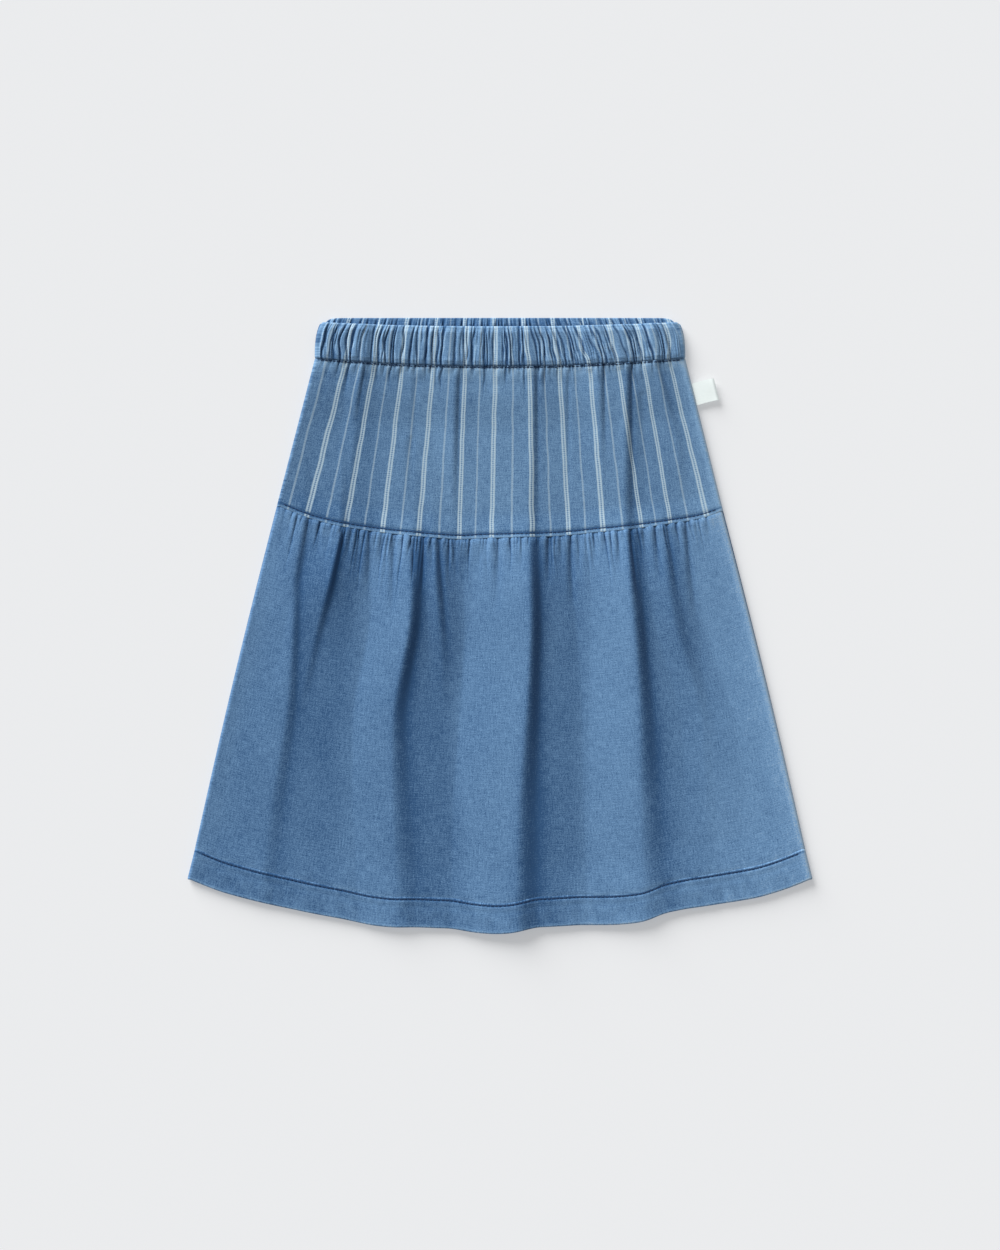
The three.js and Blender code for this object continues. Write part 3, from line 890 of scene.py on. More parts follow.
def band_wash_and_painted_light_of(gathers, tone):
    def wash_and_painted_light(piece, s, share, x, y):
        crest, valley, rim = band_folds(gathers, s, share)
        patchy = lerp(0.3, 1, ease(unevenness(s * 30, share * 5, 28), -0.6, 0.5))
        rubbed = BAND_RIM_RUB * rim * patchy
        upper_rim = BAND_TOP_RUB * (1 - ease(share, 0.0, 0.06))
        # Painted shade along the band's foot, next to the waist seam.
        foot = BAND_FOOT_DARK * ease(share, 0.95, 1)
        paler = tone + upper_rim + BAND_RIGHT_PALER * ease(x, 0, 100) + side_seams_rubbed_and_painted_light(piece, share, x)
        # Painted shade in the valleys and, through the crest term, between the crests; the rims are rubbed
        # paler.
        return paler + rubbed + BAND_CRESTS_RUBBED_AND_SHADED * (crest - 1.0) - BAND_VALLEY_DARK * valley - foot

    return wash_and_painted_light


print("the back band is", round(FRONT_BAND_TONE - BACK_BAND_TONE, 2), "darker than the front one")

# %% [markdown]
# The elastic draws the striped cloth in unevenly, so no stripe runs quite straight. The cloth's map could
# be dragged by hand. A table says the same more clearly: at each place `s`, how many millimetres a stripe
# lies to the right of its even place, at the band's top, at the waist and at the yoke's edge.

# %% Stripes that stray
class Stray(NamedTuple):
    s: float
    band: float
    waist: float
    yoke_edge: float


STRAYS = [
    Stray(-1.0, -4.0, -4.0, -4.0),
    Stray(-0.86, 3.2, 1.1, -3.1),
    Stray(-0.69, -0.3, 0.0, -1.1),
    Stray(-0.53, -1.3, -1.5, -1.1),
    Stray(-0.36, 0.0, -0.8, -1.3),
    Stray(-0.20, 1.3, 1.0, 1.9),
    Stray(-0.03, 1.3, 0.9, -1.0),
    Stray(0.13, 2.7, 4.7, 2.0),
    Stray(0.30, 1.4, 4.5, 2.5),
    Stray(0.46, -2.0, 5.0, 0.8),
    Stray(0.63, -0.5, 3.8, 3.0),
    Stray(0.79, -1.7, -0.4, -3.6),
    Stray(0.96, -2.6, -4.7, -2.5),
]


def read_strays(s, level):
    return np.interp(s, [row.s for row in STRAYS], [getattr(row, level) for row in STRAYS])


def band_stray(s, share):
    return lerp(read_strays(s, "band"), read_strays(s, "waist"), ease(share, 0.5, 1))


def yoke_stray(s, share):
    return lerp(read_strays(s, "waist"), read_strays(s, "yoke_edge"), share)


print("at the waist, stripes stray up to", max(row.waist for row in STRAYS), "mm to the right")

# %% Waistband, front and back
BACK_BAND_LIFT = 0.6


def back_band_lift(piece, s, share, x, y):
    """The valleys of the outer face, which lift off the floor."""
    crest, valley, rim = band_folds(BACK_WAIST_GATHERS, s, share)
    return np.maximum(BACK_BAND_LIFT - BACK_BAND_LIFT * crest, 0)


waistband_front = sew_piece(
    "waistband_front",
    Piece(
        start=FRONT_TOP,
        end=FRONT_WAIST,
        wall=BAND_WALL,
        roll=BAND_ROLL,
        middle=front_middle,
        relief=band_relief_of(FRONT_WAIST_GATHERS),
        wash_and_painted_light=band_wash_and_painted_light_of(FRONT_WAIST_GATHERS, FRONT_BAND_TONE),
        columns=620,
        rows=np.linspace(0, 1, 50),
        levels=((0, 5.4), (1, 5.2)),
        insets=(BAND_WALL / 2, BAND_WALL / 2),
        spread=rounded_sides,
        bulge=even_all_over,
        stray=band_stray,
    ),
)
waistband_back = sew_piece(
    "waistband_back",
    Piece(
        start=BACK_TOP,
        end=BACK_WAIST,
        wall=BAND_WALL,
        roll=BAND_ROLL,
        middle=back_middle,
        relief=back_band_lift,
        wash_and_painted_light=band_wash_and_painted_light_of(BACK_WAIST_GATHERS, BACK_BAND_TONE),
        columns=520,
        rows=np.linspace(0, 1, 24),
        inner_rows=34,
        insets=(BAND_WALL / 2, BAND_WALL / 2),
        spread=rounded_sides,
        bulge=band_relief_of(BACK_WAIST_GATHERS),
        faces_up=False,
    ),
)

# %% [markdown]
# ## The yoke
# The yoke is smooth but for the crimps just under the elastic and a few narrow creases that run down from
# it. Its lower edge is folded under, stitched through all layers 2 mm above the fold, and lies on the
# tier's gathered top. The stitches pull a shallow groove, and the fold below it is rubbed pale and carries
# a painted highlight. Shade is painted into the crimps' valleys, just under the elastic's seam, and on the
# folds and creases. The fold could be modelled as a second layer, but nobody sees under it, so the edge is
# simply rounded. The grid is finest just under the elastic, where the crimps are.

# %% Crimps and stitch line of the yoke
CLOTH_WALL = 1.2
YOKE_ROLL = (2.0, 1.4)
YOKE_STITCH_FROM_EDGE = 2.3
STITCH_GROOVE = 0.5
GROOVE_WIDTH = 0.9
YOKE_INSETS = (0.2, 0.1)
CRIMP_WARP = 0.005
FINE_CRIMP = 0.5
CRIMP_CREASE = 0.6
CRIMP_VALLEY_WIDTH = 0.18
CRIMP_RIM_WIDTH = 0.14
CRIMP_RIM_REACH = 7
STITCH_PUCKER = 0.12


def stitch_groove(distance):
    return -STITCH_GROOVE * bump(distance, GROOVE_WIDTH)


def yoke_stitch_distance(piece, share):
    return (1 - share) * length_of(piece) - YOKE_STITCH_FROM_EDGE


def yoke_crimps(s, down):
    """The crests, valleys and rubbed lines of the crimps under the elastic."""
    broad, fine = FRONT_WAIST_GATHERS, FINE_WAIST_GATHERS
    warped = s + CRIMP_WARP * unevenness(s * 40, down / 8, 24)
    crest = broad.rise(warped, down) + FINE_CRIMP * fine.rise(warped, down)
    valley = fine.valley(warped, down, CRIMP_VALLEY_WIDTH) + broad.valley(warped, down, VALLEY_WIDTH)
    rim = fine.rim(warped, FINE_RIM_PLACE, CRIMP_RIM_WIDTH) * (1 - ease(down, 0, CRIMP_RIM_REACH))
    return crest, np.clip(valley, 0, DEEPEST_VALLEY), rim


def yoke_relief(piece, s, share, x, y):
    down = share * length_of(piece)
    crest, valley, rim = yoke_crimps(s, down)
    held = lerp(0.6, 1, ease(down, 0.5, 3))
    from_stitch = yoke_stitch_distance(piece, share)
    puckers = STITCH_PUCKER * unevenness(x / 2.4, y / 9, 25) * bump(from_stitch, 4)
    return (crest - CRIMP_CREASE * valley) * held + stitch_groove(from_stitch) + puckers


print("the yoke's stitches lie", YOKE_STITCH_FROM_EDGE, "mm above its edge")

# %% Wash and painted shade of the yoke
UNDER_BAND_RUB = 0.42
UNDER_BAND_DARK = 0.15
YOKE_EDGE_RUB_AND_PAINTED_HIGHLIGHT = 0.4
CRIMP_RIM_RUB = 0.35
CRIMP_VALLEY_DARK = 0.6
YOKE_STITCH_DARK = 0.7
YOKE_FLANK_DARK = 0.3
YOKE_LEE_DARK = 0.06
YOKE_CREASE_DARK = 0.12
YOKE_LEFT_DARK = 0.2
YOKE_FOOT_DARK = 0.09


def yoke_wash_and_painted_light(piece, s, share, x, y):
    down = share * length_of(piece)
    from_stitch = yoke_stitch_distance(piece, share)
    crest, valley, rim = yoke_crimps(s, down)
    # Painted shade in the seam just under the band's edge.
    under_seam = UNDER_BAND_DARK * (1 - ease(down, 0.2, 1.2))
    under_band = UNDER_BAND_RUB * (1 - ease(down, 1.5, 11)) - under_seam
    # The folded edge is rubbed pale and also carries a painted highlight.
    fold = YOKE_EDGE_RUB_AND_PAINTED_HIGHLIGHT * (1 - ease(np.abs(from_stitch + YOKE_STITCH_FROM_EDGE - 0.4), 0.3, 1.1))
    # Painted shade on the folds' steep sides, in their lee and in the creases.
    flank, lee = fold_shade(x, y)
    creased = np.clip(-sum_creases(YOKE_CREASES, x, y), 0, 1)
    shade = YOKE_FLANK_DARK * flank + YOKE_LEE_DARK * lee + YOKE_CREASE_DARK * creased
    left_side = YOKE_LEFT_DARK * ease(-x, 40, 110)
    low_middle = YOKE_FOOT_DARK * (1 - ease(from_stitch, 8, 22)) * (1 - ease(x, 50, 110))
    # This sum holds painted light too: the folded edge's highlight and the light on the right seam's roll.
    rubbed = fold + under_band + CRIMP_RIM_RUB * rim + side_seams_rubbed_and_painted_light(piece, share, x)
    stitched = YOKE_STITCH_DARK * bump(from_stitch, 0.8)
    # Painted shade in the crimps' valleys.
    return rubbed - CRIMP_VALLEY_DARK * valley - stitched - shade - left_side - low_middle


print("the cloth just under the elastic is rubbed paler by", UNDER_BAND_RUB)

# %% Yoke, front and back
BACK_CRIMP_DEPTH = 0.7
BACK_CRIMP_LENGTH = 24


def back_lift_of(gathers, depth, length):
    """The cloth of a back piece between its crests, which lifts off the floor."""

    def relief(piece, s, share, x, y):
        down = share * length_of(piece)
        return np.maximum(depth * (1 - ease(down, 0, length)) - gathers.rise(s, down), 0)

    return relief


def back_yoke_relief(piece, s, share, x, y):
    crimped = back_lift_of(BACK_WAIST_GATHERS, BACK_CRIMP_DEPTH, BACK_CRIMP_LENGTH)
    lift = crimped(piece, s, share, x, y)
    return lift - stitch_groove(yoke_stitch_distance(piece, share))


YOKE_LEVELS = ((0, 4.9), (0.12, 4.4), (0.4, 2.8), (0.85, 2.6), (1, 3.7))

yoke_front_piece = Piece(
    start=FRONT_WAIST,
    end=FRONT_YOKE_EDGE,
    wall=CLOTH_WALL,
    roll=YOKE_ROLL,
    middle=front_middle,
    relief=yoke_relief,
    wash_and_painted_light=yoke_wash_and_painted_light,
    columns=520,
    rows=lerp(closer_at_start(118), np.linspace(0, 1, 118) ** 0.8, 0.3),
    levels=YOKE_LEVELS,
    insets=YOKE_INSETS,
    creases=YOKE_CREASES,
    swell=0.25,
    lowest=(2.6, 2.1),
    sag=yoke_sag,
    stray=yoke_stray,
)
yoke_back_piece = Piece(
    start=BACK_WAIST,
    end=BACK_YOKE_EDGE,
    wall=CLOTH_WALL,
    roll=YOKE_ROLL,
    middle=back_middle,
    relief=back_yoke_relief,
    wash_and_painted_light=even_all_over,
    columns=380,
    rows=np.linspace(0, 1, 70),
    insets=YOKE_INSETS,
    faces_up=False,
)
yoke_front = sew_piece("yoke_front", yoke_front_piece)
yoke_back = sew_piece("yoke_back", yoke_back_piece)

# %% [markdown]
# ## The tier
# The tier's top is drawn into small gathers and goes in under the yoke's folded edge, so its first few
# millimetres dip. The gathers start flat at the stitches, puff out just below, and die away down the cloth.
# They could be sculpted one by one. Rows made from a count are quicker to tune, and the few creases that
# catch the eye are listed one by one on top of them.

# %% Gathers of the tier
TIER_ROLL = (1.4, 1.4)
BACK_TIER_WALL = 1.5
BACK_TIER_ROLL = (1.25, 1.25)
TIER_BULGE = 0.022
UNDER_YOKE = 2.2
DRAWN_IN = 1.2
HEM_PUCKER = 0.14
TIER_WARP = 0.005
TIER_RELIEF = 0.8
FINE_GATHER = 0.6
TIER_VALLEY_WIDTH = 0.1
FINE_TIER_VALLEY_WIDTH = 0.18
DEEPEST_TIER_VALLEY = 1.3


def bulged_sides(share):
    return share + TIER_BULGE * np.sin(math.pi * share)


def tier_gathers(s, down):
    """The height of the gathers and the depth of the sharp valleys between them."""
    broad, fine = FRONT_TIER_GATHERS, FINE_TIER_GATHERS
    warped = s + TIER_WARP * unevenness(s * 44, down / 14, 26)
    finer = s + TIER_WARP * unevenness(s * 60, down / 9, 33)
    height = broad.rise(warped, down) + FINE_GATHER * fine.rise(finer, down)
    valley = broad.valley(warped, down, TIER_VALLEY_WIDTH)
    valley = valley + fine.valley(finer, down, FINE_TIER_VALLEY_WIDTH)
    return height, np.clip(valley, 0, DEEPEST_TIER_VALLEY)


def tier_relief(piece, s, share, x, y):
    down = share * length_of(piece)
    height, valley = tier_gathers(s, down)
    held = lerp(0.3, 1, ease(down, UNDER_YOKE, UNDER_YOKE + 4))
    above_hem = (1 - share) * length_of(piece)
    puckers = HEM_PUCKER * unevenness(x / 4.5, y / 16, 27) * (1 - ease(above_hem, 0, 12))
    return (TIER_RELIEF * height - valley) * held + puckers


print("the tier goes in under the yoke's edge by", UNDER_YOKE, "mm")

# %% Wash and painted shade of the tier
LEFT_DARK = 0.0006
RIGHT_PALER = 0.2
TIER_FLANK_DARK = 0.47
TIER_LEE_DARK = 0.21
TIER_CREASE_DARK = 0.2
TIER_VALLEY_DARK = 0.7
UNDER_YOKE_RUB = 0.13
UNDER_YOKE_DARK = 0.1
HEM_LINE_STREAKS = 0.18
HEM_LINE_RUB = 0.2


def side_drift(x):
    """Paler towards the right side, and a little darker towards the left one."""
    return np.where(x < 0, LEFT_DARK * x, RIGHT_PALER * ease(x, 0, 190))


def tier_wash_and_painted_light(piece, s, share, x, y):
    down = share * length_of(piece)
    above_hem = (1 - share) * length_of(piece)
    height, valley = tier_gathers(s, down)
    # Painted shade on the folds' steep sides, in their lee and in the creases.
    flank, lee = fold_shade(x, y)
    creased = np.clip(-sum_creases(TIER_CREASES, x, y), 0, 1.6)
    shade = TIER_FLANK_DARK * flank + TIER_LEE_DARK * lee + TIER_CREASE_DARK * creased
    # Painted shade where the tier goes in under the yoke's edge.
    in_shadow = UNDER_YOKE_DARK * (1 - ease(down, UNDER_YOKE, UNDER_YOKE + 2))
    under_yoke = UNDER_YOKE_RUB * (1 - ease(down, 8, 20)) - in_shadow
    hem_line = HEM_LINE_STREAKS * unevenness(x / 3.5, y / 30, 27) * (1 - ease(above_hem, 0, 6))
    paler = side_drift(x) + side_seams_rubbed_and_painted_light(piece, share, x) + hem_line + HEM_LINE_RUB * bump(above_hem, 0.8)
    # Painted shade in the gathers' valleys.
    return paler + under_yoke - shade - TIER_VALLEY_DARK * valley


print("the right side is rubbed paler by", float(side_drift(190)))

# %% Tier, front and back
TIER_LEVELS = ((0, 3.7), (0.1, 3.4), (0.4, 2.4), (0.9, 2.8), (1, 3.3))
BACK_GATHER_DEPTH = 0.6
BACK_GATHER_LENGTH = 50

tier_front_piece = Piece(
    start=FRONT_YOKE_EDGE._replace(half=FRONT_YOKE_EDGE.half - DRAWN_IN),
    end=FRONT_HEM_FOLD,
    wall=CLOTH_WALL,
    roll=TIER_ROLL,
    middle=front_middle,
    relief=tier_relief,
    wash_and_painted_light=tier_wash_and_painted_light,
    columns=720,
    rows=closer_at_start(106),
    levels=TIER_LEVELS,
    insets=(-UNDER_YOKE, 0.0),
    spread=bulged_sides,
    creases=TIER_CREASES,
    swell=0.3,
    lowest=(2.8, 2.25),
    tuck=1.2,
    sag=tier_sag,
)
tier_back_piece = Piece(
    start=BACK_YOKE_EDGE,
    end=BACK_HEM_FOLD,
    wall=BACK_TIER_WALL,
    roll=BACK_TIER_ROLL,
    middle=back_middle,
    relief=back_lift_of(BACK_TIER_GATHERS, BACK_GATHER_DEPTH, BACK_GATHER_LENGTH),
    wash_and_painted_light=even_all_over,
    columns=420,
    rows=closer_at_start(90),
    spread=bulged_sides,
    faces_up=False,
)
tier_front = sew_piece("tier_front", tier_front_piece)
tier_back = sew_piece("tier_back", tier_back_piece)

# %% [markdown]
# ## The hem
# The tier's end is turned up twice and stitched 21 mm above the edge. The doubled cloth is thicker and
# stands up a little below the stitches, and it has shrunk less evenly than the thread, so it is roped with
# small slanted puckers. Two more layers inside it wouldn't show, so one thicker wall stands for all three.

# %% Relief, wash and painted shade of the hem
HEM_WALL = 2.0
HEM_ROLL = (1.3, 1.3)
HEM_STITCH_DOWN = 0.9
ROPE_RELIEF = 0.2
HEM_HOLLOW = 0.15
ROPE_RUB = 0.14
HEM_EDGE_RUB = 0.4
HEM_STITCH_DARK = 0.9
HEM_FLANK_DARK = 0.3
HEM_LEE_DARK = 0.12


def hem_ropes(x, y):
    slanted = unevenness((x + 0.5 * y) / 5.5, (y - 0.3 * x) / 14, 31)
    return 0.7 * slanted + 0.3 * unevenness(x / 2.6, y / 6, 32)


def hem_relief(piece, s, share, x, y):
    down = share * length_of(piece)
    roped = ROPE_RELIEF * hem_ropes(x, y)
    return roped + stitch_groove(down - HEM_STITCH_DOWN) - HEM_HOLLOW * bump(down - 6, 2.5)


def hem_wash_and_painted_light(piece, s, share, x, y):
    down = share * length_of(piece)
    flank, lee = fold_shade(x, y)
    edge = HEM_EDGE_RUB * ease(share, 0.92, 1)
    stitched = HEM_STITCH_DARK * bump(down - HEM_STITCH_DOWN, 0.7)
    # Painted shade on the folds' steep sides and in their lee.
    shade = HEM_FLANK_DARK * flank + HEM_LEE_DARK * lee
    paler = side_drift(x) + side_seams_rubbed_and_painted_light(piece, share, x) + ROPE_RUB * hem_ropes(x, y) + edge
    return paler - stitched - shade


def back_hem_relief(piece, s, share, x, y):
    return -stitch_groove(share * length_of(piece) - HEM_STITCH_DOWN)


print("the hem's stitches lie", HEM_STITCH_DOWN, "mm under its upper line")

# %% Hem, front and back
hem_front_piece = Piece(
    start=FRONT_HEM_FOLD,
    end=FRONT_HEM_EDGE,
    wall=HEM_WALL,
    roll=HEM_ROLL,
    middle=front_middle,
    relief=hem_relief,
    wash_and_painted_light=hem_wash_and_painted_light,
    columns=560,
    rows=np.linspace(0, 1, 32),
    inner_rows=5,
    levels=((0, 3.4), (1, 3.2)),
    insets=(0.5, HEM_WALL / 2),
    lowest=(3.1, 3.1),
    sag=hem_sag,
)
hem_back_piece = Piece(
    start=BACK_HEM_FOLD,
    end=BACK_HEM_EDGE,
    wall=HEM_WALL,
    roll=HEM_ROLL,
    middle=back_middle,
    relief=back_hem_relief,
    wash_and_painted_light=even_all_over,
    columns=420,
    rows=np.linspace(0, 1, 16),
    inner_rows=8,
    insets=(0.5, HEM_WALL / 2),
    faces_up=False,
)
hem_front = sew_piece("hem_front", hem_front_piece)
hem_back = sew_piece("hem_back", hem_back_piece)

# %% [markdown]
# ## The stitches
# A line of lockstitch shows as short rounded bars of thread that dip into the cloth at both ends. They
# could be painted on, but real bars catch the light from every side. One stitch is modelled from a small
# sphere, drawn out along X and flattened, and copied along each seam. The copies lie in the groove that
# they pull, turned to the seam and to the cloth under them.

# %% One stitch
STITCH_LENGTH = 2.7
STITCH_PITCH = 2.9
THREAD_RADIUS = 0.36
FLATTENED = 0.8


def model_stitch():
    """The corners and faces of one stitch along X, with its middle at the origin.

    A new sphere's faces come in another order in each run, so they are sorted.
    """
    bpy.ops.mesh.primitive_uv_sphere_add(segments=6, ring_count=5, radius=THREAD_RADIUS)
    stitch = bpy.context.object
    bpy.ops.object.mode_set(mode="EDIT")
    bpy.ops.mesh.select_all(action="SELECT")
    bpy.ops.transform.rotate(value=math.pi / 2, orient_axis="Y", center_override=(0, 0, 0))
    drawn_out = (STITCH_LENGTH / 2 / THREAD_RADIUS, 1, FLATTENED)
    bpy.ops.transform.resize(value=drawn_out, center_override=(0, 0, 0))
    bpy.ops.object.mode_set(mode="OBJECT")
    corners = np.array([vertex.co[:] for vertex in stitch.data.vertices])
    faces = sorted(list(face.vertices) for face in stitch.data.polygons)
    bpy.data.objects.remove(stitch)
    return corners, faces


stitch_corners, stitch_faces = model_stitch()
print("one stitch has", len(stitch_faces), "faces")

# %% A seam's line of stitches
SEAM_END = 0.985
SEAM_POINTS = 2400
SINK = 0.08
STITCH_UNEVENNESS = 0.15


def seam_places(piece, share):
    """Points along a seam on the outer face but above the floor, and the cloth's normals there."""
    s = np.linspace(-SEAM_END, SEAM_END, SEAM_POINTS)
    step = 0.5 / length_of(piece)
    face = cloth_face(piece, s, np.full(s.shape, math.pi / 2), [share - step, share, share + step])
    points = (face.middle + face.normal * (face.outer + THREAD_RADIUS * FLATTENED - SINK))[1]
    points[:, 2] = np.maximum(points[:, 2], THREAD_RADIUS)
    return points, face.normal[1]


def sew_seam(name, piece, down):
    points, normals = seam_places(piece, down / length_of(piece))
    walked = np.concatenate([[0], np.cumsum(np.linalg.norm(np.diff(points, axis=0), axis=1))])
    places = np.arange(STITCH_PITCH / 2, walked[-1], STITCH_PITCH)
    places = places + STITCH_UNEVENNESS * (2 * scatter(np.arange(len(places)), 41) - 1)

    def read(values, at):
        return np.stack([np.interp(at, walked, values[:, axis]) for axis in range(3)], axis=-1)

    along = unit(read(points, places + STITCH_LENGTH / 2) - read(points, places - STITCH_LENGTH / 2))
    across = unit(np.cross(read(normals, places), along))
    up = np.cross(along, across)
    turned = np.stack([along, across, up], axis=1)
    corners = read(points, places)[:, None, :] + np.einsum("ca,nax->ncx", stitch_corners, turned)
    faces = []
    for k in range(len(places)):
        faces += [[corner + k * len(stitch_corners) for corner in face] for face in stitch_faces]
    mesh = bpy.data.meshes.new(name)
    mesh.from_pydata((corners.reshape(-1, 3) * MM).tolist(), [], faces)
    obj = bpy.data.objects.new(name, mesh)
    bpy.context.collection.objects.link(obj)
    mesh.shade_smooth()
    print(name, len(places), "stitches")
    return obj


# %% Sew the seams
WAIST_STITCH_DOWN = 0.7

SEAMS = {
    "waist_seam_stitches": (yoke_front_piece, WAIST_STITCH_DOWN),
    "yoke_edge_stitches": (yoke_front_piece, length_of(yoke_front_piece) - YOKE_STITCH_FROM_EDGE),
    "hem_stitches": (hem_front_piece, HEM_STITCH_DOWN),
    "back_yoke_edge_stitches": (yoke_back_piece, length_of(yoke_back_piece) - YOKE_STITCH_FROM_EDGE),
    "back_hem_stitches": (hem_back_piece, HEM_STITCH_DOWN),
}
threads = {name: sew_seam(name, piece, down) for name, (piece, down) in SEAMS.items()}

# %% [markdown]
# ## The label
# A short woven tape, folded in half, is caught in the right side seam. It is blank. It is one strip of
# tape that goes out, turns round its fold and comes back, so a grid is bent to that path, given the tape's
# wall with a Solidify modifier, and its outer end curls up a little.

# %% Fold the label
LABEL_LENGTH = 15.5
LABEL_WIDTH = 15.5
LABEL_Y = 161
TAPE_WALL = 0.35
TAPE_PARTING = 0.75
TAPE_CURL = 1.3
TAPE_COLUMNS = 40
TAPE_ROWS = 14
TAPE_TURN = (0.47, 0.53)
TAPE_FOLD = 2.2
INTO_SEAM = 0.6


def seam_x(y):
    """Where the right side seam of the yoke is at a height along Y, and its lean from the Y axis."""
    top = Vector((FRONT_WAIST.half, float(line_y(FRONT_WAIST, 1))))
    foot = Vector((FRONT_YOKE_EDGE.half, float(line_y(FRONT_YOKE_EDGE, 1))))
    lean = math.atan2(foot.x - top.x, top.y - foot.y)
    return top.x + (foot.x - top.x) * (top.y - y) / (top.y - foot.y), lean


def tape_path(share):
    """Out and back along a folded tape: how far out, and how high above its lower layer."""
    out = LABEL_LENGTH * (1 - np.abs(2 * share - 1))
    turn = ease(share, *TAPE_TURN)
    near_fold = bump(out - LABEL_LENGTH, TAPE_FOLD)
    return out, TAPE_PARTING * turn * (1 + 0.5 * near_fold) - 0.12 * near_fold


def fold_label():
    bpy.ops.mesh.primitive_grid_add(x_subdivisions=TAPE_COLUMNS, y_subdivisions=TAPE_ROWS, size=1)
    label = bpy.context.object
    label.name = "side_label_tape"
    corners = np.array([vertex.co[:] for vertex in label.data.vertices])
    share, across = corners[:, 0] + 0.5, corners[:, 1]
    out, high = tape_path(share)
    curl = TAPE_CURL * (out / LABEL_LENGTH) ** 2 * (0.35 + 0.65 * ease(across, -0.5, 0.5))
    x, lean = seam_x(LABEL_Y)
    solid_low, solid_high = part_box("side_label")
    base = solid_low.z / MM + TAPE_WALL / 2
    start = SEAM_GAP + out - INTO_SEAM * (1 - out / LABEL_LENGTH)
    side = across * LABEL_WIDTH + 0.35 * np.sin(math.pi * out / LABEL_LENGTH)
    points = np.stack(
        [
            x + start * math.cos(lean) - side * math.sin(lean),
            LABEL_Y + start * math.sin(lean) + side * math.cos(lean),
            base + high + curl,
        ],
        axis=-1,
    )
    label.data.vertices.foreach_set("co", (points * MM).ravel())
    solidify = label.modifiers.new("tape wall", "SOLIDIFY")
    solidify.thickness = TAPE_WALL * MM
    solidify.offset = 0
    bpy.ops.object.modifier_apply(modifier=solidify.name)
    bpy.ops.object.shade_smooth_by_angle(angle=math.radians(50))
    print("side_label_tape", len(label.data.polygons), "faces, above", in_mm(solid_high / MM))
    return label


side_label = fold_label()

# %% [markdown]
# ## Materials
# A material is written as sums. `Shade` wraps the output of a node, and adding or multiplying it by a
# number or another `Shade` adds a Math node. Every other node comes from one method, `node`, that is
# given the node's settings and what goes into its sockets.

# %% Write shader sums in Python
class Shade:
    def __init__(self, finish, socket):
        self.finish = finish
        self.socket = socket

    def with_math(self, operation, first, second):
        return self.finish.node("ShaderNodeMath", {"operation": operation}, {0: first, 1: second})

    def __add__(self, other):
        return self.with_math("ADD", self, other)

    def __radd__(self, other):
        return self.with_math("ADD", other, self)

    def __sub__(self, other):
        return self.with_math("SUBTRACT", self, other)

    def __rsub__(self, other):
        return self.with_math("SUBTRACT", other, self)

    def __mul__(self, other):
        return self.with_math("MULTIPLY", self, other)

    def __rmul__(self, other):
        return self.with_math("MULTIPLY", other, self)


class Finish:
    """A material and the nodes that feed its shader."""

    def __init__(self, name):
        self.material = bpy.data.materials.new(name)
        self.material.use_nodes = True
        self.tree = self.material.node_tree
        self.shader = self.tree.nodes["Principled BSDF"]

    def connect(self, socket, value):
        if isinstance(value, Shade):
            self.tree.links.new(value.socket, socket)
        else:
            socket.default_value = value

    def node(self, kind, settings, values, output=0):
        node = self.tree.nodes.new(kind)
        for setting, value in settings.items():
            setattr(node, setting, value)
        for socket, value in values.items():
            self.connect(node.inputs[socket], value)
        return Shade(self, node.outputs[output])

    def set(self, **sockets):
        for name, value in sockets.items():
            self.connect(self.shader.inputs[name.replace("_", " ")], value)

    def noise(self, vector, cell, detail=1.0, roughness=0.5):
        """Noise whose cells are so many millimetres along each axis."""
        scale = tuple(1 / (size * MM) for size in cell)
        placed = self.node("ShaderNodeMapping", {}, {"Vector": vector, "Scale": scale})
        values = {"Vector": placed, "Scale": 1.0, "Detail": detail, "Roughness": roughness}
        return self.node("ShaderNodeTexNoise", {}, values)

    def mix(self, share, first, second):
        return self.node("ShaderNodeMix", {"data_type": "RGBA"}, {0: share, 6: first, 7: second}, output=2)

    def step(self, value, low, high):
        values = {"Value": value, "From Min": low, "From Max": high}
        return self.node("ShaderNodeMapRange", {"interpolation_type": "SMOOTHSTEP"}, values)

    def clamp(self, value):
        return self.node("ShaderNodeClamp", {}, {"Value": value})

    def math(self, operation, *values):
        return self.node("ShaderNodeMath", {"operation": operation}, dict(enumerate(values)))

    def bumped(self, height, strength, distance):
        values = {"Strength": strength, "Distance": distance * MM, "Height": height}
        return self.node("ShaderNodeBump", {}, values)


# %% [markdown]
# ## Chambray denim
# The cloth is a plain weave of blue warp and paler weft. It shows as a fine salt-and-pepper grain, with
# soft streaks where a thread is thicker: short ones down the cloth and longer ones across it. Washing has
# left it a little uneven, paler on crests and edges and darker beside stitches. Shade is painted into its
# colour too, darker in the valleys of the gathers and crimps, in the creases and on the folds' shaded
# sides, and light is painted onto the right seam's roll and the yoke's folded edge. The yoke's cloth has
# pale stripes woven in: pairs of fine lines with a ladder of threads between them, and one fainter line
# midway between two pairs.

# %% Denim
GRAIN_CELL = (0.75, 0.6, 1.0)
WARP_CELL = (0.8, 7.0, 1.0)
WEFT_CELL = (7.0, 0.8, 1.0)
WASH_CELL = (26.0, 34.0, 26.0)
RUBBED_AND_LIT_BLUE = (0.38, 0.49, 0.58, 1.0)
RUBBED_AND_LIT_SHARE = 0.6
RUBBED_AND_LIT_TONES = (0.9, 1.4)
STRIPES_HIDDEN = (-0.75, -0.25)
GRAIN_GAIN = 1.9
WARP_GAIN = 0.6
WEFT_GAIN = 0.6
WASH_GAIN = 0.3
ROUGHEST = 0.95
TONE_GLOSS = 0.12


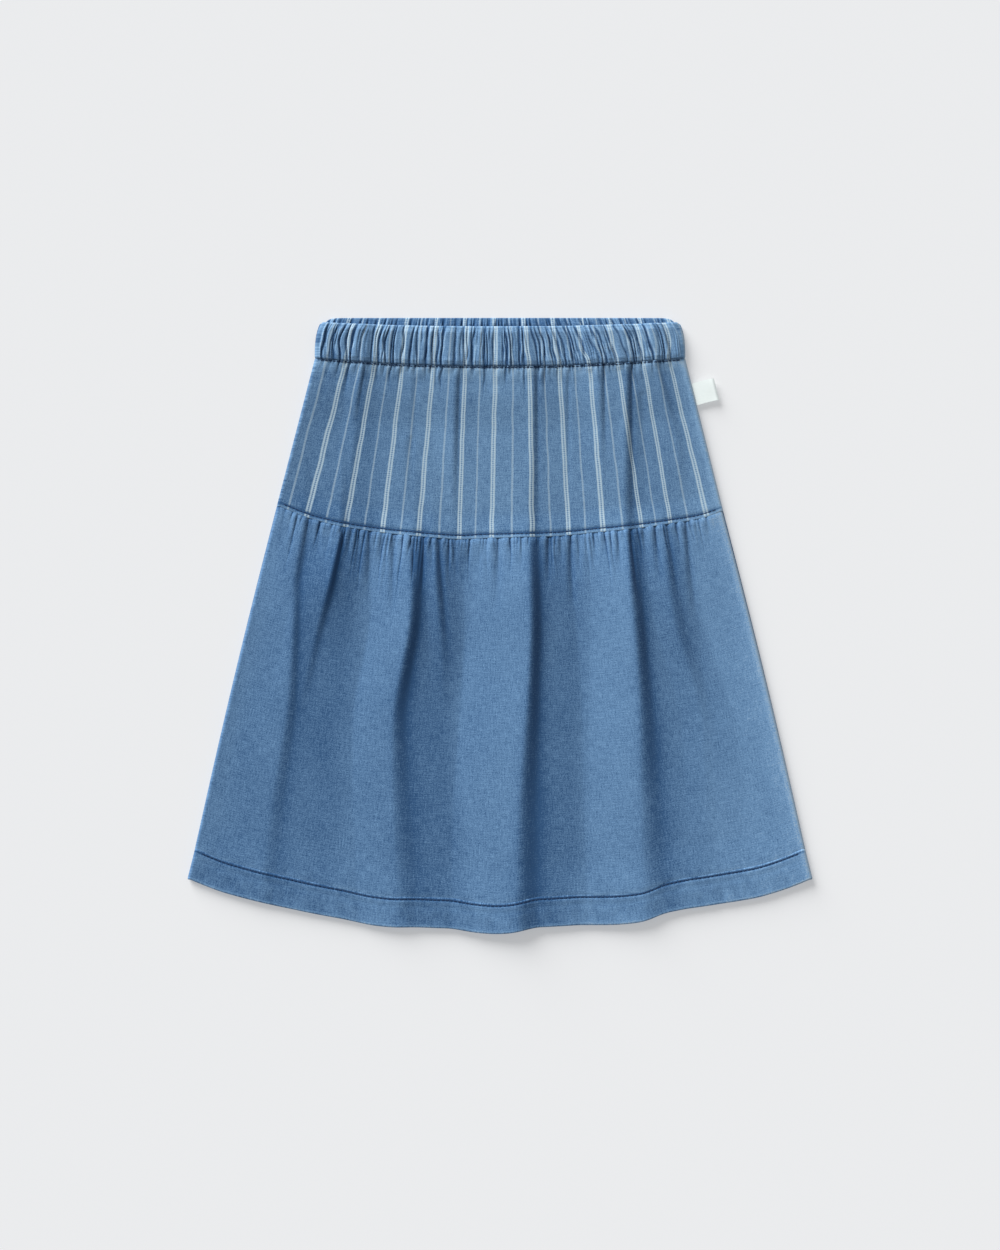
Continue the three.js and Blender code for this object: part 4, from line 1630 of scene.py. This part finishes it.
def weave_tone(finish, uv, place):
    """Lightness (about 0.5 on average), the wash with painted light and shade, and the threads' height."""
    grain = finish.noise(uv, GRAIN_CELL, detail=2.0, roughness=0.6)
    warp = finish.noise(uv, WARP_CELL)
    weft = finish.noise(uv, WEFT_CELL)
    wash = finish.noise(place, WASH_CELL, detail=3.0)
    wash_and_painted_light = finish.node("ShaderNodeAttribute", {"attribute_name": "wash_and_painted_light"}, {}, output="Fac")
    threads_tone = GRAIN_GAIN * (grain - 0.5) + WARP_GAIN * (warp - 0.5) + WEFT_GAIN * (weft - 0.5)
    tone = 0.5 + threads_tone + WASH_GAIN * (wash - 0.5) + wash_and_painted_light
    height = grain * 0.6 + warp * 0.2 + weft * 0.3
    return tone, wash_and_painted_light, height


def denim(name, deep, pale, stripes=None):
    finish = Finish(name)
    uv = finish.node("ShaderNodeUVMap", {"uv_map": "UVMap"}, {})
    place = finish.node("ShaderNodeTexCoord", {}, {}, output="Object")
    tone, wash_and_painted_light, height = weave_tone(finish, uv, place)
    clamped_tone = finish.clamp(tone)
    colour = finish.mix(clamped_tone, deep, pale)
    # The palest tones turn grey-blue: rubbed cloth, and the painted light on the right seam's roll and the
    # yoke's folded edge.
    colour = finish.mix(finish.step(tone, *RUBBED_AND_LIT_TONES) * RUBBED_AND_LIT_SHARE, colour, RUBBED_AND_LIT_BLUE)
    if stripes:
        # The stripes fade where the painted shade is deepest.
        colour = stripes(finish, uv, colour, finish.step(wash_and_painted_light, *STRIPES_HIDDEN))
    finish.set(
        Base_Color=colour,
        Roughness=ROUGHEST - TONE_GLOSS * clamped_tone,
        Specular_IOR_Level=0.2,
        Sheen_Weight=0.08,
        Sheen_Roughness=0.6,
        Normal=finish.bumped(height, 0.5, 0.35),
    )
    return finish.material


# %% Woven stripes
STRIPE_PITCH = 25.7
STRIPE_START = -5.1
PAIR_OFFSET = 1.15
PAIR_WIDTH = 1.2
LADDER_PITCH = 1.5
THIN_WIDTH = 1.3
LINE_BLUR = 0.45
STRIPE_BLUE = (0.40, 0.53, 0.62, 1.0)
STRIPE_WOBBLE = 1.6
LADDER_SHARE = 0.5
WOBBLE_CELL = (45.0, 22.0, 1.0)
BREAK_CELL = (2.0, 1.6, 1.0)


def woven_line(finish, distance, width):
    return 1 - finish.step(distance, (width - LINE_BLUR) / 2, (width + LINE_BLUR) / 2)


def woven_stripes(finish, uv, colour, unhidden):
    split = finish.node("ShaderNodeSeparateXYZ", {}, {0: uv}, output="X")
    down = finish.node("ShaderNodeSeparateXYZ", {}, {0: uv}, output="Y") * (1 / MM)
    wobble = finish.noise(uv, WOBBLE_CELL) - 0.5
    across = split * (1 / MM) - STRIPE_START + STRIPE_WOBBLE * wobble
    turns = across * (1 / STRIPE_PITCH) + 0.5
    from_pair = finish.math("ABSOLUTE", (finish.math("FRACT", turns + 40.0) - 0.5) * STRIPE_PITCH)
    from_thin = STRIPE_PITCH / 2 - from_pair
    pair = woven_line(finish, finish.math("ABSOLUTE", from_pair - PAIR_OFFSET), PAIR_WIDTH)
    rung = 0.5 + 0.5 * finish.math("SINE", down * (2 * math.pi / LADDER_PITCH))
    ladder = woven_line(finish, from_pair, 2 * PAIR_OFFSET) * rung * LADDER_SHARE
    thin = woven_line(finish, from_thin, THIN_WIDTH) * (0.34 + 0.16 * rung)
    broken = 0.72 + 0.5 * (finish.noise(uv, BREAK_CELL) - 0.5) + 0.1 * rung
    mask = finish.clamp(pair * broken + ladder + thin) * unhidden
    return finish.mix(mask, colour, STRIPE_BLUE)


# %% Plain and striped denim
PLAIN_DEEP = (0.020, 0.076, 0.190, 1.0)
PLAIN_PALE = (0.165, 0.316, 0.525, 1.0)
STRIPED_DEEP = (0.024, 0.084, 0.200, 1.0)
STRIPED_PALE = (0.200, 0.360, 0.560, 1.0)
plain_denim = denim("plain_denim", PLAIN_DEEP, PLAIN_PALE)
striped_denim = denim("striped_denim", STRIPED_DEEP, STRIPED_PALE, woven_stripes)
print("the striped denim has", len(striped_denim.node_tree.nodes), "nodes")

# %% [markdown]
# ## Thread and tape
# The thread is dark indigo and twisted from strands. At this size the twist is only a fine unevenness, so
# noise gives it, in the colour and in a small bump. The label's tape is smooth and off-white, with a faint
# rib across it, which is noise that is drawn out along one axis.

# %% Thread and label tape
THREAD_DARK = (0.008, 0.022, 0.062, 1.0)
THREAD_LIGHT = (0.020, 0.048, 0.125, 1.0)
TAPE_WHITE = (0.88, 0.94, 0.93, 1.0)
TAPE_SHADE = (0.80, 0.88, 0.87, 1.0)


def twisted_thread():
    finish = Finish("seam_thread")
    place = finish.node("ShaderNodeTexCoord", {}, {}, output="Object")
    strands = finish.noise(place, (0.35, 0.35, 0.35), detail=2.0)
    finish.set(
        Base_Color=finish.mix(strands, THREAD_DARK, THREAD_LIGHT),
        Roughness=0.6 + 0.2 * strands,
        Specular_IOR_Level=0.2,
        Normal=finish.bumped(strands, 0.4, 0.1),
    )
    return finish.material


def woven_tape():
    finish = Finish("label_cloth")
    place = finish.node("ShaderNodeTexCoord", {}, {}, output="Object")
    rib = finish.noise(place, (3.0, 0.35, 3.0), detail=1.0)
    finish.set(
        Base_Color=finish.mix(rib, TAPE_SHADE, TAPE_WHITE),
        Roughness=0.6 + 0.2 * rib,
        Normal=finish.bumped(rib, 0.4, 0.1),
    )
    return finish.material


# %% Give each piece its material
def give(obj, material):
    obj.data.materials.clear()
    obj.data.materials.append(material)


thread_finish = twisted_thread()
FINISHES = {
    "striped_denim": striped_denim,
    "plain_denim": plain_denim,
    "label_cloth": woven_tape(),
}
CLOTHS = {
    "waistband_front": (waistband_front, "striped_denim"),
    "waistband_back": (waistband_back, "striped_denim"),
    "yoke_front": (yoke_front, "striped_denim"),
    "yoke_back": (yoke_back, "striped_denim"),
    "tier_front": (tier_front, "plain_denim"),
    "tier_back": (tier_back, "plain_denim"),
    "hem_front": (hem_front, "plain_denim"),
    "hem_back": (hem_back, "plain_denim"),
    "side_label": (side_label, "label_cloth"),
}
for piece, slot in CLOTHS.values():
    give(piece, FINISHES[slot])
for piece in threads.values():
    give(piece, thread_finish)
print(len(CLOTHS), "cloths and", len(threads), "seams have their finish")

# %% [markdown]
# ## The floor
# A plain pale studio floor, which isn't part of the skirt. Its top is level with the skirt's underside.
# Nearly half of its brightness is a painted glow of its own, which lifts the skirt's shadow on it so that
# it stays faint.

# %% Lay the floor
FLOOR_SIZE = 12000
FLOOR_WHITE = (0.507, 0.511, 0.519, 1.0)
# Painted light: the floor's own glow, which lightens the skirt's shadow on it.
FLOOR_GLOW = (0.332, 0.336, 0.342, 1.0)

bpy.ops.mesh.primitive_plane_add(size=FLOOR_SIZE * MM)
floor = bpy.context.object
floor.name = "studio_floor"
floor_finish = Finish("glowing_floor")
floor_finish.set(
    Base_Color=FLOOR_WHITE,
    Roughness=0.95,
    Specular_IOR_Level=0.0,
    Emission_Color=FLOOR_GLOW,
    Emission_Strength=1.0,
)
give(floor, floor_finish.material)
print("floor", FLOOR_SIZE / 1000, "m wide")

# %% [markdown]
# ## What each piece stands for
# Every piece rides on the one body and replaces its plain solid.

# %% Ride and replace
for node, (piece, slot) in CLOTHS.items():
    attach(piece, "root")
    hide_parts(node)
for piece in threads.values():
    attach(piece, "root")
print(len(CLOTHS) + len(threads), "pieces ride on the one body")
